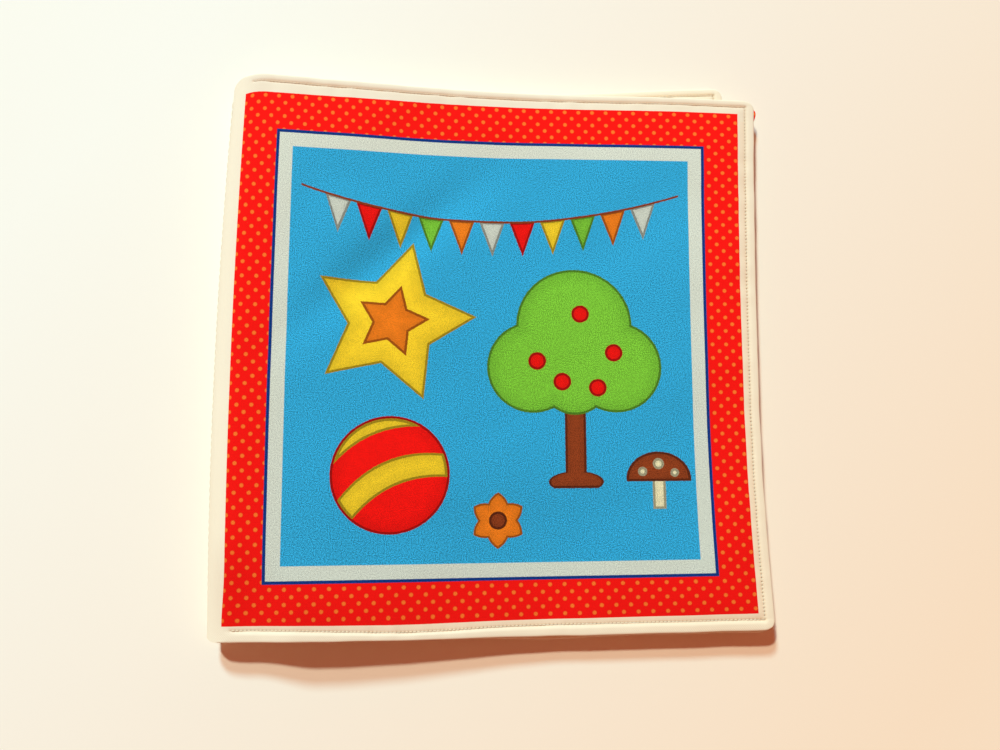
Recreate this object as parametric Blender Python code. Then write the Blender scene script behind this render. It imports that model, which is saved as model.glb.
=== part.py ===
"""A cloth baby book, closed and lying on its back cover.

Two padded spreads of printed cotton are nested, sewn together along one seam through the fold and
closed, which makes four soft leaves. Each leaf is two panels of cloth with batting between them. The
panels are turned in to a plump welt round the three free edges, and a lockstitched topstitch runs just
inside the welt: its needle thread lies on one face and its bobbin thread on the other.

The leaves turn on one line, the crease of the fold, so every panel stops there and nothing crosses it.
Metres, +Z up, +X from the spine to the fore edge, +Y from the foot to the head of the page. The origin
is the middle of the back cover's flat underside, which is what the book rests on.
"""

import math
from collections import namedtuple

import bmesh
import bpy

# The page, from the crease to the fore edge and from the foot to the head
PAGE_WIDTH = 0.218
PAGE_HEIGHT = 0.222
CORNER_RADIUS = 0.0055

# The closed book: it is tallest just inside the spine, where the padded fold springs open
SPINE_HEIGHT = 0.017
CURL_REACH = 0.012
SLOPE_START = 0.024
SLOPE_END = 0.145
FOLD_GAP = 0.0011

# Cloth, padding and thread
CLOTH_THICKNESS = 0.00035
LEAF_CROWN = 0.0023
LEAF_WELT = 0.0022
THREAD_DIAMETER = 0.0003
SEAM_THREAD_DIAMETER = 0.0004

# Clearances
LAYER_GAP = 0.0003
THREAD_GAP = 0.0003
SPLIT_GAP = 0.0006

# The topstitch, measured in from each edge of the page
FORE_INSET = 0.0038
HEAD_INSET = 0.0032
FOOT_INSET = 0.0044
SEAM_END_INSET = 0.004

# How far each leaf has slipped toward the head at its fore edge, and how far it falls short there
FRONT_COVER_SLIP = 0.0035
SECOND_LEAF_SLIP = 0.0028
THIRD_LEAF_SLIP = 0.0044
BACK_COVER_SLIP = 0.010
SECOND_LEAF_SHORT = 0.001
THIRD_LEAF_SHORT = 0.004
BACK_COVER_SHORT = 0.011

# Where the mesh of a leaf has its lines, as shares
CURL_SHARES = (0.0, 1 / 6, 1 / 3, 1 / 2, 2 / 3, 5 / 6, 1.0)
SLOPE_SHARES = (0.0, 0.3, 0.5, 0.7, 1.0)
EDGE_SHARES = (2.6, 1.7, 1.0, 0.45, 0.0)
MIDDLE_SHARES = (0.25, 0.5, 0.75)
WELT_CREST_SHARE = 0.45
CROWN_SHARE = 2.6
BATTING_EDGE_SHARE = 1.7
BATTING_CURL_SHARE = 0.5
STITCH_CURL_SHARE = 2 / 3

THREAD_RESOLUTION = 1
SMOOTH_ANGLE = math.radians(50)

# What follows from them
HINGE_HEIGHT = SPINE_HEIGHT / 2
LEAF_STITCHED = 2 * CLOTH_THICKNESS + LAYER_GAP
LEAF_PITCH = LEAF_CROWN + LAYER_GAP
OUTER_RISE = HINGE_HEIGHT - LEAF_CROWN / 2
INNER_RISE = OUTER_RISE - LEAF_CROWN - FOLD_GAP
OUTER_CREASE = SEAM_THREAD_DIAMETER / 2 + LAYER_GAP / 2 + LEAF_STITCHED / 2
INNER_CREASE = OUTER_CREASE + LEAF_STITCHED + LAYER_GAP
CURL_END = OUTER_CREASE + CURL_REACH

Leaf = namedtuple("Leaf", "name side crease rise layer slip short front_colour back_colour")
Station = namedtuple("Station", "x z normal_x normal_z curl_share")

# The colour of each page's cloth: a printed ground on every panel, ivory batting and thread
RED = (0.98, 0.10, 0.03)
BLUE = (0.05, 0.40, 0.72)
YELLOW = (0.98, 0.72, 0.12)
GREEN = (0.32, 0.62, 0.12)
IVORY = (0.98, 0.92, 0.78)
WHITE = (0.93, 0.92, 0.89)

# From the table up. Side is -1 where the leaf curls down from the crease and 1 where it curls up
LEAVES = (
    Leaf("back_cover", -1, OUTER_CREASE, OUTER_RISE, 0, BACK_COVER_SLIP, BACK_COVER_SHORT, BLUE, RED),
    Leaf("third_leaf", -1, INNER_CREASE, INNER_RISE, 1, THIRD_LEAF_SLIP, THIRD_LEAF_SHORT, GREEN, BLUE),
    Leaf("second_leaf", 1, INNER_CREASE, INNER_RISE, 2, SECOND_LEAF_SLIP, SECOND_LEAF_SHORT, YELLOW, GREEN),
    Leaf("front_cover", 1, OUTER_CREASE, OUTER_RISE, 3, FRONT_COVER_SLIP, 0.0, RED, YELLOW),
)


def eased(share):
    """A share from 0 to 1 with a level start and a level end."""
    return (1 - math.cos(math.pi * min(max(share, 0.0), 1.0))) / 2


def between(low, high, share):
    """The value a share of the way from low to high."""
    return low + (high - low) * share


def clear_scene():
    """Removes whatever the scene holds."""
    for obj in list(bpy.data.objects):
        bpy.data.objects.remove(obj, do_unlink=True)


def new_material(name, colour, roughness):
    """A matt finish for cloth, batting or thread."""
    material = bpy.data.materials.new(name)
    material.use_nodes = True
    shader = material.node_tree.nodes["Principled BSDF"]
    shader.inputs["Base Color"].default_value = (*colour, 1.0)
    shader.inputs["Roughness"].default_value = roughness
    shader.inputs["Metallic"].default_value = 0.0
    material.diffuse_color = (*colour, 1.0)
    return material


def leaf_width(leaf):
    """From the crease to this leaf's own fore edge."""
    return PAGE_WIDTH - leaf.short


def curl_station(leaf, share):
    """A point of the leaf's middle surface on the quarter ellipse that rises or drops from the crease."""
    angle = share * math.pi / 2
    reach = CURL_END - leaf.crease
    rise = leaf.rise - SPLIT_GAP / 2
    x = leaf.crease + reach * (1 - math.cos(angle))
    z = HINGE_HEIGHT + leaf.side * (SPLIT_GAP / 2 + rise * math.sin(angle))
    out_x = -rise * math.cos(angle)
    out_z = leaf.side * reach * math.sin(angle)
    length = math.hypot(out_x, out_z)
    return Station(x, z, out_x / length, out_z / length, share)


def slope_station(leaf, x):
    """A point of the middle surface past the curl, which eases down to the leaf's layer in the stack."""
    sprung = HINGE_HEIGHT + leaf.side * leaf.rise
    flat = LEAF_CROWN / 2 + leaf.layer * LEAF_PITCH
    run = SLOPE_END - SLOPE_START
    share = (x - SLOPE_START) / run
    z = between(sprung, flat, eased(share))
    slope = 0.0
    if 0.0 < share < 1.0:
        slope = (flat - sprung) * math.pi * math.sin(math.pi * share) / (2 * run)
    length = math.hypot(slope, 1.0)
    return Station(x, z, -leaf.side * slope / length, leaf.side / length, 1.0)


def stations(leaf, first_curl_share=0.0, last_edge_share=0.0):
    """The mesh lines of a leaf from its crease to its fore edge."""
    found = [curl_station(leaf, share) for share in CURL_SHARES if share >= first_curl_share]
    places = [between(SLOPE_START, SLOPE_END, share) for share in SLOPE_SHARES]
    edge = [leaf_width(leaf) - share * FORE_INSET for share in EDGE_SHARES if share >= last_edge_share]
    places.append(between(SLOPE_END, edge[0], MIDDLE_SHARES[1]))
    return found + [slope_station(leaf, x) for x in places + edge]


def rows(last_edge_share=0.0):
    """The mesh lines of a leaf from its foot to its head."""
    shares = [share for share in EDGE_SHARES if share >= last_edge_share]
    foot = [share * FOOT_INSET for share in reversed(shares)]
    head = [PAGE_HEIGHT - share * HEAD_INSET for share in shares]
    middle = [between(foot[-1], head[0], share) for share in MIDDLE_SHARES]
    return foot + middle + head


def edge_share(leaf, x, y):
    """How far inside the free edges a point lies, where 1 is on the topstitch."""
    return min((leaf_width(leaf) - x) / FORE_INSET, y / FOOT_INSET, (PAGE_HEIGHT - y) / HEAD_INSET)


def leaf_thickness(inside, curl_share):
    """The padded leaf at a point: thin at its rim and its topstitch, plump at its welt and its middle."""
    if inside <= WELT_CREST_SHARE:
        thickness = between(LEAF_STITCHED, LEAF_WELT, inside / WELT_CREST_SHARE)
    elif inside <= 1.0:
        thickness = between(LEAF_WELT, LEAF_STITCHED, (inside - WELT_CREST_SHARE) / (1.0 - WELT_CREST_SHARE))
    else:
        thickness = between(LEAF_STITCHED, LEAF_CROWN, eased((inside - 1.0) / (CROWN_SHARE - 1.0)))
    return min(thickness, between(LEAF_STITCHED, LEAF_CROWN, eased(curl_share)))


def outer_panel(inside, curl_share):
    """The two surfaces of the panel on the side away from the fold. Its hem is turned in under the welt."""
    half = leaf_thickness(inside, curl_share) / 2
    if inside < 1.0:
        return LAYER_GAP / 2, half
    return half - CLOTH_THICKNESS, half


def inner_panel(inside, curl_share):
    """The two surfaces of the panel on the side toward the fold."""
    low, high = outer_panel(inside, curl_share)
    return -high, -low


def batting_layer(inside, curl_share):
    """The two surfaces of the batting, which is caught between the panels inside the topstitch."""
    half = leaf_thickness(inside, curl_share) / 2 - CLOTH_THICKNESS - LAYER_GAP
    return -half, half


def rounded_corner(leaf, x, y):
    """Draws a point near a free corner in, so that the square corner becomes a quarter circle."""
    past_x = (x - leaf_width(leaf) + CORNER_RADIUS) / CORNER_RADIUS
    middle = PAGE_HEIGHT / 2
    past_y = (abs(y - middle) - middle + CORNER_RADIUS) / CORNER_RADIUS
    if past_x <= 0.0 or past_y <= 0.0:
        return x, y
    drawn_x = past_x * math.sqrt(1 - past_y * past_y / 2)
    drawn_y = past_y * math.sqrt(1 - past_x * past_x / 2)
    x += (drawn_x - past_x) * CORNER_RADIUS
    y += (drawn_y - past_y) * math.copysign(CORNER_RADIUS, y - middle)
    return x, y


def placed(leaf, station, y, offset):
    """Where a point lies in the book, from its station, its row and its height off the middle surface."""
    x, y = rounded_corner(leaf, station.x, y)
    y += leaf.slip * x / leaf_width(leaf)
    return (
        x + station.normal_x * offset - PAGE_WIDTH / 2,
        y - PAGE_HEIGHT / 2,
        station.z + station.normal_z * offset,
    )


def add_layer(collection, name, leaf, across, up, surfaces, material):
    """A closed sheet of cloth or batting: one grid, extruded once, with both sheets shaped to the leaf."""
    bm = bmesh.new()
    bmesh.ops.create_grid(bm, x_segments=len(across) - 1, y_segments=len(up) - 1, size=1.0)
    lower = list(bm.verts)
    made = bmesh.ops.extrude_face_region(bm, geom=list(bm.faces))
    upper = [item for item in made["geom"] if isinstance(item, bmesh.types.BMVert)]
    for side, sheet in enumerate((lower, upper)):
        for vert in sheet:
            station = across[round((vert.co.x + 1.0) / 2 * (len(across) - 1))]
            y = up[round((vert.co.y + 1.0) / 2 * (len(up) - 1))]
            inside = edge_share(leaf, station.x, y)
            vert.co = placed(leaf, station, y, surfaces(inside, station.curl_share)[side])
    bmesh.ops.recalc_face_normals(bm, faces=list(bm.faces))
    mesh = bpy.data.meshes.new(name)
    bm.to_mesh(mesh)
    bm.free()
    mesh.shade_smooth()
    mesh.set_sharp_from_angle(angle=SMOOTH_ANGLE)
    mesh.materials.append(material)
    obj = bpy.data.objects.new(name, mesh)
    collection.objects.link(obj)
    return obj


def add_thread(collection, name, points, diameter, material):
    """A run of thread through its points, as a round tube with filled ends."""
    curve = bpy.data.curves.new(name, "CURVE")
    curve.dimensions = "3D"
    curve.bevel_depth = diameter / 2
    curve.bevel_resolution = THREAD_RESOLUTION
    curve.use_fill_caps = True
    spline = curve.splines.new("POLY")
    spline.points.add(len(points) - 1)
    for point, place in zip(spline.points, points):
        point.co = (*place, 1.0)
    curve.materials.append(material)
    obj = bpy.data.objects.new(name, curve)
    collection.objects.link(obj)
    return obj


def topstitch_points(leaf, face):
    """The topstitch of one face: out along the foot, up the fore edge and back along the head."""
    offset = face * (LEAF_STITCHED / 2 + THREAD_GAP + THREAD_DIAMETER / 2)
    run = stations(leaf, STITCH_CURL_SHARE, 1.0)
    foot = [placed(leaf, station, FOOT_INSET, offset) for station in run]
    head = [placed(leaf, station, PAGE_HEIGHT - HEAD_INSET, offset) for station in reversed(run)]
    return foot + head


def seam_points(x):
    """A straight run of the spine seam at one distance from the crease."""
    ends = (SEAM_END_INSET, PAGE_HEIGHT - SEAM_END_INSET)
    return [(x - PAGE_WIDTH / 2, y - PAGE_HEIGHT / 2, HINGE_HEIGHT) for y in ends]


def add_leaf(collection, leaf, batting, thread):
    """The five pieces of one leaf, which move together."""
    front_is_outer = leaf.side > 0
    front, back = (outer_panel, inner_panel) if front_is_outer else (inner_panel, outer_panel)
    columns = stations(leaf)
    lines = rows()
    for face, surfaces, colour in (("front", front, leaf.front_colour), ("back", back, leaf.back_colour)):
        name = f"{leaf.name}_{face}_panel"
        cloth = new_material(f"{name}_cotton", colour, 0.9)
        add_layer(collection, name, leaf, columns, lines, surfaces, cloth)
    inner_columns = stations(leaf, BATTING_CURL_SHARE, BATTING_EDGE_SHARE)
    inner_lines = rows(BATTING_EDGE_SHARE)
    add_layer(collection, f"{leaf.name}_batting", leaf, inner_columns, inner_lines, batting_layer, batting)
    outward = topstitch_points(leaf, 1)
    inward = topstitch_points(leaf, -1)
    add_thread(collection, f"{leaf.name}_topstitch_needle_thread", outward, THREAD_DIAMETER, thread)
    add_thread(collection, f"{leaf.name}_topstitch_bobbin_thread", inward, THREAD_DIAMETER, thread)


def add_spine_seam(collection, thread):
    """The seam that holds both spreads: one run outside the fold on the crease, and one inside it."""
    inside = INNER_CREASE + LEAF_STITCHED / 2 + THREAD_GAP + SEAM_THREAD_DIAMETER / 2
    runs = (("spine_seam_needle_thread", 0.0), ("spine_seam_bobbin_thread", inside))
    for name, x in runs:
        add_thread(collection, name, seam_points(x), SEAM_THREAD_DIAMETER, thread)


def main():
    clear_scene()
    book = bpy.data.collections.new("cloth_baby_book")
    bpy.context.scene.collection.children.link(book)
    batting = new_material("polyester_batting", WHITE, 1.0)
    thread = new_material("sewing_thread", IVORY, 0.6)
    for leaf in LEAVES:
        add_leaf(book, leaf, batting, thread)
    add_spine_seam(book, thread)


main()
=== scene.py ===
"""The look of a closed cloth baby book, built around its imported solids.

Every panel of the book is a sheet of printed cotton that is turned over a padded leaf, drawn in under its
topstitch and curled round the fold. The sheets follow the same middle line as the solids, and add what
cloth does: a plump welt, a dimple at each needle hole, puckers, and a cover pulled a little out of square.
"""

import logging
import math
from dataclasses import dataclass, field
from enum import Enum
from typing import Callable, Dict, Iterator, List, NamedTuple, Optional, Sequence, Tuple, Union

import bpy
import numpy as np
from mathutils import Matrix, Vector


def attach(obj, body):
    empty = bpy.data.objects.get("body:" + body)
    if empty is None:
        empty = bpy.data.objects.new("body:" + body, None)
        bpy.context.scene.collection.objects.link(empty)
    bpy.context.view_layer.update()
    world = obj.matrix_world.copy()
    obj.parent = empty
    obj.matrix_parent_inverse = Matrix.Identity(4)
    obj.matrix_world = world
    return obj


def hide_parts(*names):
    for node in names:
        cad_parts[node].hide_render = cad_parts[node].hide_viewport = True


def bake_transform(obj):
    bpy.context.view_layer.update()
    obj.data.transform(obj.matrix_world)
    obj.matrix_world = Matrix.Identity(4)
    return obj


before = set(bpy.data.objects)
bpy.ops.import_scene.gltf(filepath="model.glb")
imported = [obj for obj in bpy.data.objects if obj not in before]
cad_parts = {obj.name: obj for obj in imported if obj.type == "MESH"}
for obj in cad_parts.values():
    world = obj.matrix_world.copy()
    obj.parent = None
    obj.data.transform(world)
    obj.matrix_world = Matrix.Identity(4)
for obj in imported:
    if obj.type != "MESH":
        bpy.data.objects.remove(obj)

LOG = logging.getLogger("cloth_book")
MM = 0.001
PAGE_MAP = "page"
CLOTH_MAP = "cloth"

Colour = Tuple[float, float, float]
Array = np.ndarray
Object = bpy.types.Object
Mesh = bpy.types.Mesh
Material = bpy.types.Material


def ink(code: str) -> Colour:
    """A linear colour from a code of six hexadecimal digits."""
    parts = [int(code[i : i + 2], 16) / 255 for i in (0, 2, 4)]
    return tuple(c / 12.92 if c <= 0.04045 else ((c + 0.055) / 1.055) ** 2.4 for c in parts)


def eased(share: Array) -> Array:
    """A share from 0 to 1 with a level start and a level end."""
    return (1 - np.cos(np.pi * np.clip(share, 0.0, 1.0))) / 2


def bell(distance: Array, width: float = 1.0) -> Array:
    """A smooth bump that is 1 at no distance and falls away over a width."""
    return np.exp(-((distance / width) ** 2))


class Value:
    """One output of a node. Arithmetic on it makes Math nodes, and so do the methods that are added below."""

    def __init__(self, kit: "ShaderKit", socket: bpy.types.NodeSocket) -> None:
        """Keeps the socket that gives the value."""
        self.kit, self.socket = kit, socket

    def kept(self) -> "Value":
        """The number, kept from 0 to 1."""
        return self.kit.node("Clamp", "Result", {"Value": self})


Number = Union[float, Value]
Ink = Union[Colour, Value]


def math_method(operation: str, swapped: bool = False) -> Callable[..., Value]:
    """A method that makes a Math node, on the value and what follows it or, swapped, the other way round.

    Args:
        operation: The Math node's operation.
        swapped: Puts the value after what follows it.

    Returns:
        The method.
    """

    def method(value: Value, *others: Number) -> Value:
        """The result of the operation."""
        return value.kit.math(operation, *((*others, value) if swapped else (value, *others)))

    return method


for word, operation in {"add": "ADD", "sub": "SUBTRACT", "mul": "MULTIPLY"}.items():
    setattr(Value, f"__{word}__", math_method(operation))
    setattr(Value, f"__r{word}__", math_method(operation, swapped=True))
for word, operation in {
    "__truediv__": "DIVIDE",
    "__abs__": "ABSOLUTE",
    "low": "MINIMUM",
    "high": "MAXIMUM",
    "fraction": "FRACT",
    "floor": "FLOOR",
    "sine": "SINE",
    "cosine": "COSINE",
}.items():
    setattr(Value, word, math_method(operation))


class ShaderKit:
    """One material's nodes, made by expressions."""

    def __init__(self, name: str) -> None:
        """Starts a material that holds only its output.

        Args:
            name: The material's name.
        """
        self.material = bpy.data.materials.new(name)
        self.material.use_nodes = True
        self.tree = self.material.node_tree
        self.tree.nodes.clear()
        self.surface = self.tree.nodes.new("ShaderNodeOutputMaterial").inputs["Surface"]

    def node(
        self, kind: str, output: Union[str, int], sockets: Dict[object, object], **settings: object
    ) -> Value:
        """Makes a node.

        Args:
            kind: The node's type, less its first words.
            output: The output that is wanted, by name or number.
            sockets: Values for its inputs, by name or number.
            settings: The node's own settings, set first.

        Returns:
            The output.
        """
        node = self.tree.nodes.new("ShaderNode" + kind)
        for name, setting in settings.items():
            setattr(node, name, setting)
        for key, given in sockets.items():
            socket = node.inputs[key]
            if isinstance(given, Value):
                self.tree.links.new(given.socket, socket)
            elif isinstance(given, tuple) and socket.type == "RGBA":
                socket.default_value = (*given, 1.0)
            else:
                socket.default_value = given
        return Value(self, node.outputs[output])

    def math(self, operation: str, *terms: Number) -> Value:
        """A Math node on numbers and values."""
        return self.node("Math", "Value", dict(enumerate(terms)), operation=operation)

    def length(self, x: Number, y: Number) -> Value:
        """The distance of a point from the origin."""
        return self.math("SQRT", x * x + y * y)

    def mix(self, share: Number, first: Ink, second: Ink) -> Value:
        """A colour between two others."""
        return self.node("Mix", 2, {0: share, 6: first, 7: second}, data_type="RGBA")

    def scaled(self, colour: Ink, share: Number) -> Value:
        """A colour made stronger or weaker."""
        return self.node("VectorMath", "Vector", {0: colour, "Scale": share}, operation="SCALE")

    def noise(
        self, place: Value, scale: float, detail: float, roughness: float = 0.5, seed: float = 0.0
    ) -> Value:
        """Noise from about 0 to 1 at a place, with another draw for each seed."""
        sockets = {"Vector": place, "Scale": scale, "Detail": detail, "Roughness": roughness, "W": seed}
        return self.node("TexNoise", "Fac", sockets, noise_dimensions="4D")

    def vector(self, x: Number, y: Number, z: Number = 0.0) -> Value:
        """A vector from three numbers."""
        return self.node("CombineXYZ", "Vector", {"X": x, "Y": y, "Z": z})

    def split(self, place: Value) -> Tuple[Value, Value]:
        """A place's first two coordinates."""
        first = self.node("SeparateXYZ", "X", {"Vector": place})
        return first, Value(self, first.socket.node.outputs["Y"])

    def on_map(self, name: str) -> Value:
        """The place on one of a mesh's maps."""
        return self.node("UVMap", "UV", {}, uv_map=name)

    def in_object(self) -> Value:
        """The place in the object's own coordinates."""
        return self.node("TexCoord", "Object", {})

    def bump(self, height: Value, depth: float) -> Value:
        """A normal from a height from 0 to 1 and its depth in metres."""
        return self.node("Bump", "Normal", {"Height": height, "Distance": depth, "Strength": 1.0})

    def finish(self, colour: Value, roughness: Number, **others: object) -> Material:
        """Ends the material in a Principled shader, whose other inputs are given by name.

        Args:
            colour: The base colour.
            roughness: The roughness.
            others: The other inputs, by names that have _ for a space.

        Returns:
            The material.
        """
        sockets = {"Base Color": colour, "Roughness": roughness}
        sockets.update((name.replace("_", " "), given) for name, given in others.items())
        self.tree.links.new(self.node("BsdfPrincipled", "BSDF", sockets).socket, self.surface)
        return self.material


@dataclass(frozen=True)
class Palette:
    """The inks of the prints, the cloth they are on, and the colours of painted light and shade on the cloth.
    """

    cotton: Colour = ink("FCEFD5")
    red: Colour = ink("FA120A")
    orange: Colour = ink("F6811A")
    dot: Colour = ink("FC7628")
    yellow: Colour = ink("FAD22B")
    green: Colour = ink("7CC437")
    deep_green: Colour = ink("3F9A2F")
    brown: Colour = ink("95401A")
    navy: Colour = ink("08357E")
    pale: Colour = ink("D3D8C8")
    blue: Colour = ink("31A5D2")
    sky: Colour = ink("8FD0EA")
    cream: Colour = ink("FBF0C0")
    # painted light: the warmer tint of the bare cotton toward the fore edge and the foot
    painted_warm_light: Colour = ink("FBE5C4")
    # painted shade along the stitched line
    seam_shade: Colour = ink("E5A468")
    # painted shade in the dip beside each seam
    dip_shade: Colour = ink("FFC48E")
    # painted shade: the dark brown inside each needle hole
    hole: Colour = ink("6E3C1C")


INKS = Palette()


class Shape(Enum):
    """The plain shapes that the prints are made of, each by the name of its method in the printer."""

    STAR = "star"
    BALL = "ball"
    TREE = "tree"
    FLOWER = "flower"
    HEART = "heart"
    KITE = "kite"
    MUSHROOM = "mushroom"
    MOON = "moon"
    FLAGS = "flags"


@dataclass(frozen=True)
class Motif:
    """One printed shape, placed from the middle of the field in millimetres and turned by degrees."""

    shape: Shape
    x: float
    y: float
    size: float
    main: Colour
    second: Colour = INKS.cream
    turn: float = 0.0


class Form(NamedTuple):
    """One flat form of a motif: the distance outside it, its ink, and whether it has an outline."""

    distance: Value
    colour: Ink
    outlined: bool = True


Forms = Iterator[Form]


class MotifPrinter:
    """Prints the plain shapes with a darker, slightly ragged outline, each drawn in shares of its size."""

    EDGE_SOFT = 0.16
    OUTLINE = 0.95
    OUTLINE_TONE = 0.34
    RAGGED = 0.55
    STAR_WAIST = 0.52
    FLAG_SLANT = 0.36
    STRING_SAG = 0.0021
    STRING_HALF = 0.45

    def __init__(self, kit: ShaderKit, x: Value, y: Value, place: Value) -> None:
        """Keeps the page's millimetres from the middle of the print, which place gives as a vector.

        Args:
            kit: The material that is made.
            x: Millimetres to the reader's right from the middle of the print.
            y: Millimetres up from it.
            place: Both as a vector, for noise.
        """
        self.kit, self.x, self.y = kit, x, y
        self.ragged = (kit.noise(place, 0.9, 3.0, 0.6) - 0.5) * self.RAGGED
        self.mottle = ((kit.noise(place, 0.35, 5.0, 0.65) - 0.35) * 2.4).kept()

    def inside(self, distance: Value) -> Value:
        """A mask that is 1 where a distance is below 0."""
        return (0.5 - distance / self.EDGE_SOFT).kept()

    def paint(self, ground: Ink, form: Form) -> Value:
        """Prints one flat form on a ground.

        Args:
            ground: The colour under the form.
            form: The form, with its ink.

        Returns:
            The colour with the form on it.
        """
        distance = form.distance + self.ragged
        tone = 0.70 + 0.22 * (distance * -0.16).kept() + 0.16 * self.mottle
        filled = self.kit.mix(self.inside(distance), ground, self.kit.scaled(form.colour, tone))
        if not form.outlined:
            return filled
        line = self.inside(abs(distance + self.OUTLINE / 2) - self.OUTLINE / 2)
        return self.kit.mix(line, filled, self.kit.scaled(form.colour, self.OUTLINE_TONE))

    def print_motif(self, ground: Ink, motif: Motif) -> Ink:
        """Prints a motif of any shape on a ground.

        Args:
            ground: The colour under the motif.
            motif: What is printed, and where.

        Returns:
            The colour with the motif on it.
        """
        x, y = self.x - motif.x, self.y - motif.y
        if motif.turn:
            cosine, sine = math.cos(math.radians(motif.turn)), math.sin(math.radians(motif.turn))
            x, y = x * cosine + y * sine, y * cosine - x * sine
        for form in getattr(self, motif.shape.value)(x, y, motif):
            ground = self.paint(ground, form)
        return ground

    def disc(
        self, x: Value, y: Value, size: float, mid_x: float = 0, mid_y: float = 0, radius: float = 1
    ) -> Value:
        """The distance outside a disc."""
        return self.kit.length(x - mid_x * size, y - mid_y * size) - radius * size

    def slab(self, x: Value, y: Value, size: float, middle_y: float, half_x: float, half_y: float) -> Value:
        """The distance outside a rectangle, by its half sizes."""
        return (abs(x) - half_x * size).high(abs(y - middle_y * size) - half_y * size)

    def fan(self, x: Value, y: Value, count: int) -> Value:
        """A wave round the middle, 0 at each of a number of points and 1 half way between them."""
        turns = self.kit.math("ARCTAN2", x, y) * (count / math.tau)
        return abs((turns + 0.5).fraction() - 0.5) * 2

    def star_form(self, x: Value, y: Value, size: float) -> Value:
        """The distance outside a star of five points with straight sides.

        Args:
            x: Millimetres across from the star's middle.
            y: Millimetres up from it.
            size: The distance from the middle to each point.

        Returns:
            The distance.
        """
        tenth = math.pi / 5
        turn = self.fan(x, y, 5) * tenth
        reach = self.kit.length(x, y)
        run_x, run_y = self.STAR_WAIST * math.cos(tenth) - 1, self.STAR_WAIST * math.sin(tenth)
        long = math.hypot(run_x, run_y)
        return (reach * turn.cosine() - size) * (run_y / long) - reach * turn.sine() * (run_x / long)

    def star(self, x: Value, y: Value, motif: Motif) -> Forms:
        """A star of five points with a small one inside."""
        yield Form(self.star_form(x, y, motif.size) - 1.2, motif.main)
        yield Form(self.star_form(x, y, 0.44 * motif.size) - 0.6, motif.second)

    def ball(self, x: Value, y: Value, motif: Motif) -> Forms:
        """A ball with a band and a cap.

        Args:
            x: Millimetres across from the motif's middle.
            y: Millimetres up from it.
            motif: Its size and inks.

        Yields:
            Its forms, from the back to the front.
        """
        size = motif.size
        rim = self.disc(x, y, size)
        bow = y + x * x * (0.30 / size)
        yield Form(rim, motif.main)
        for form in (abs(bow - 0.02 * size) - 0.22 * size, 0.74 * size - bow):
            yield Form(form.high(rim + self.OUTLINE), motif.second)

    def tree(self, x: Value, y: Value, motif: Motif) -> Forms:
        """A round tree on a brown trunk, with five fruits.

        Args:
            x: Millimetres across from the motif's middle.
            y: Millimetres up from it.
            motif: Its size and inks.

        Yields:
            Its forms, from the back to the front.
        """
        size, flat = motif.size, 2.6
        root = self.disc(x, y * flat, size, 0, -1.12 * flat, 0.26).high(-1.18 * size - y)
        yield Form(self.slab(x, y, size, -0.72, 0.10, 0.46).low(root), INKS.brown)
        crown = self.disc(x, y, size, 0, 0.38, 0.56)
        for lobe in ((-0.40, -0.02, 0.44), (0.40, -0.02, 0.44), (0, -0.14, 0.34)):
            crown = crown.low(self.disc(x, y, size, *lobe))
        yield Form(crown, motif.main)
        for spot in ((-0.36, 0.04), (0.06, 0.50), (0.38, 0.12), (-0.12, -0.16), (0.22, -0.22)):
            yield Form(self.disc(x, y, size, *spot, 0.085), motif.second)

    def flower(self, x: Value, y: Value, motif: Motif) -> Forms:
        """A flower of six petals.

        Args:
            x: Millimetres across from the motif's middle.
            y: Millimetres up from it.
            motif: Its size and inks.

        Yields:
            Its forms, from the back to the front.
        """
        reach = self.kit.length(x, y)
        yield Form(reach - motif.size * (1 - 0.30 * self.fan(x, y, 6)), motif.main)
        yield Form(reach - 0.32 * motif.size, motif.second)

    def heart(self, x: Value, y: Value, motif: Motif) -> Forms:
        """A heart made of a square on its corner and two discs.

        Args:
            x: Millimetres across from the motif's middle.
            y: Millimetres up from it.
            motif: Its size and inks.

        Yields:
            Its forms, from the back to the front.
        """
        size = motif.size
        form = (abs(x) + abs(y + 0.12 * size) - 0.86 * size) * 0.7
        for side in (-1, 1):
            form = form.low(self.disc(x, y, size, 0.43 * side, 0.31, 0.608))
        yield Form(form, motif.main)

    def kite(self, x: Value, y: Value, motif: Motif) -> Forms:
        """A kite in two colours with a wavy tail.

        Args:
            x: Millimetres across from the motif's middle.
            y: Millimetres up from it.
            motif: Its size and inks.

        Yields:
            Its forms, from the back to the front.
        """
        size = motif.size
        wave = (y * (7.0 / size)).sine() * (0.08 * size)
        yield Form((abs(x - wave) - 0.6).high(self.slab(x, y, size, -1.45, 1, 0.55)), motif.second, False)
        form = (abs(x) * 1.45 + abs(y) - size) * 0.57
        yield Form(form, motif.main)
        yield Form((form + self.OUTLINE).high(x * y * (1 / size)), motif.second)

    def mushroom(self, x: Value, y: Value, motif: Motif) -> Forms:
        """A mushroom with a spotted cap.

        Args:
            x: Millimetres across from the motif's middle.
            y: Millimetres up from it.
            motif: Its size and inks.

        Yields:
            Its forms, from the back to the front.
        """
        size = motif.size
        yield Form(self.slab(x, y, size, -0.45, 0.20, 0.48), INKS.cream)
        yield Form((self.disc(x, y * 1.2, size) * 0.9).high(-0.08 * size - y), motif.main)
        for spot in ((-0.5, 0.22, 0.14), (0, 0.46, 0.17), (0.5, 0.18, 0.13)):
            yield Form(self.disc(x, y, size, *spot), motif.second)

    def moon(self, x: Value, y: Value, motif: Motif) -> Forms:
        """A crescent moon."""
        bite = self.disc(x, y, motif.size, 0.46, 0.18, 0.80)
        yield Form(self.disc(x, y, motif.size).high(0 - bite), motif.main)

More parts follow.
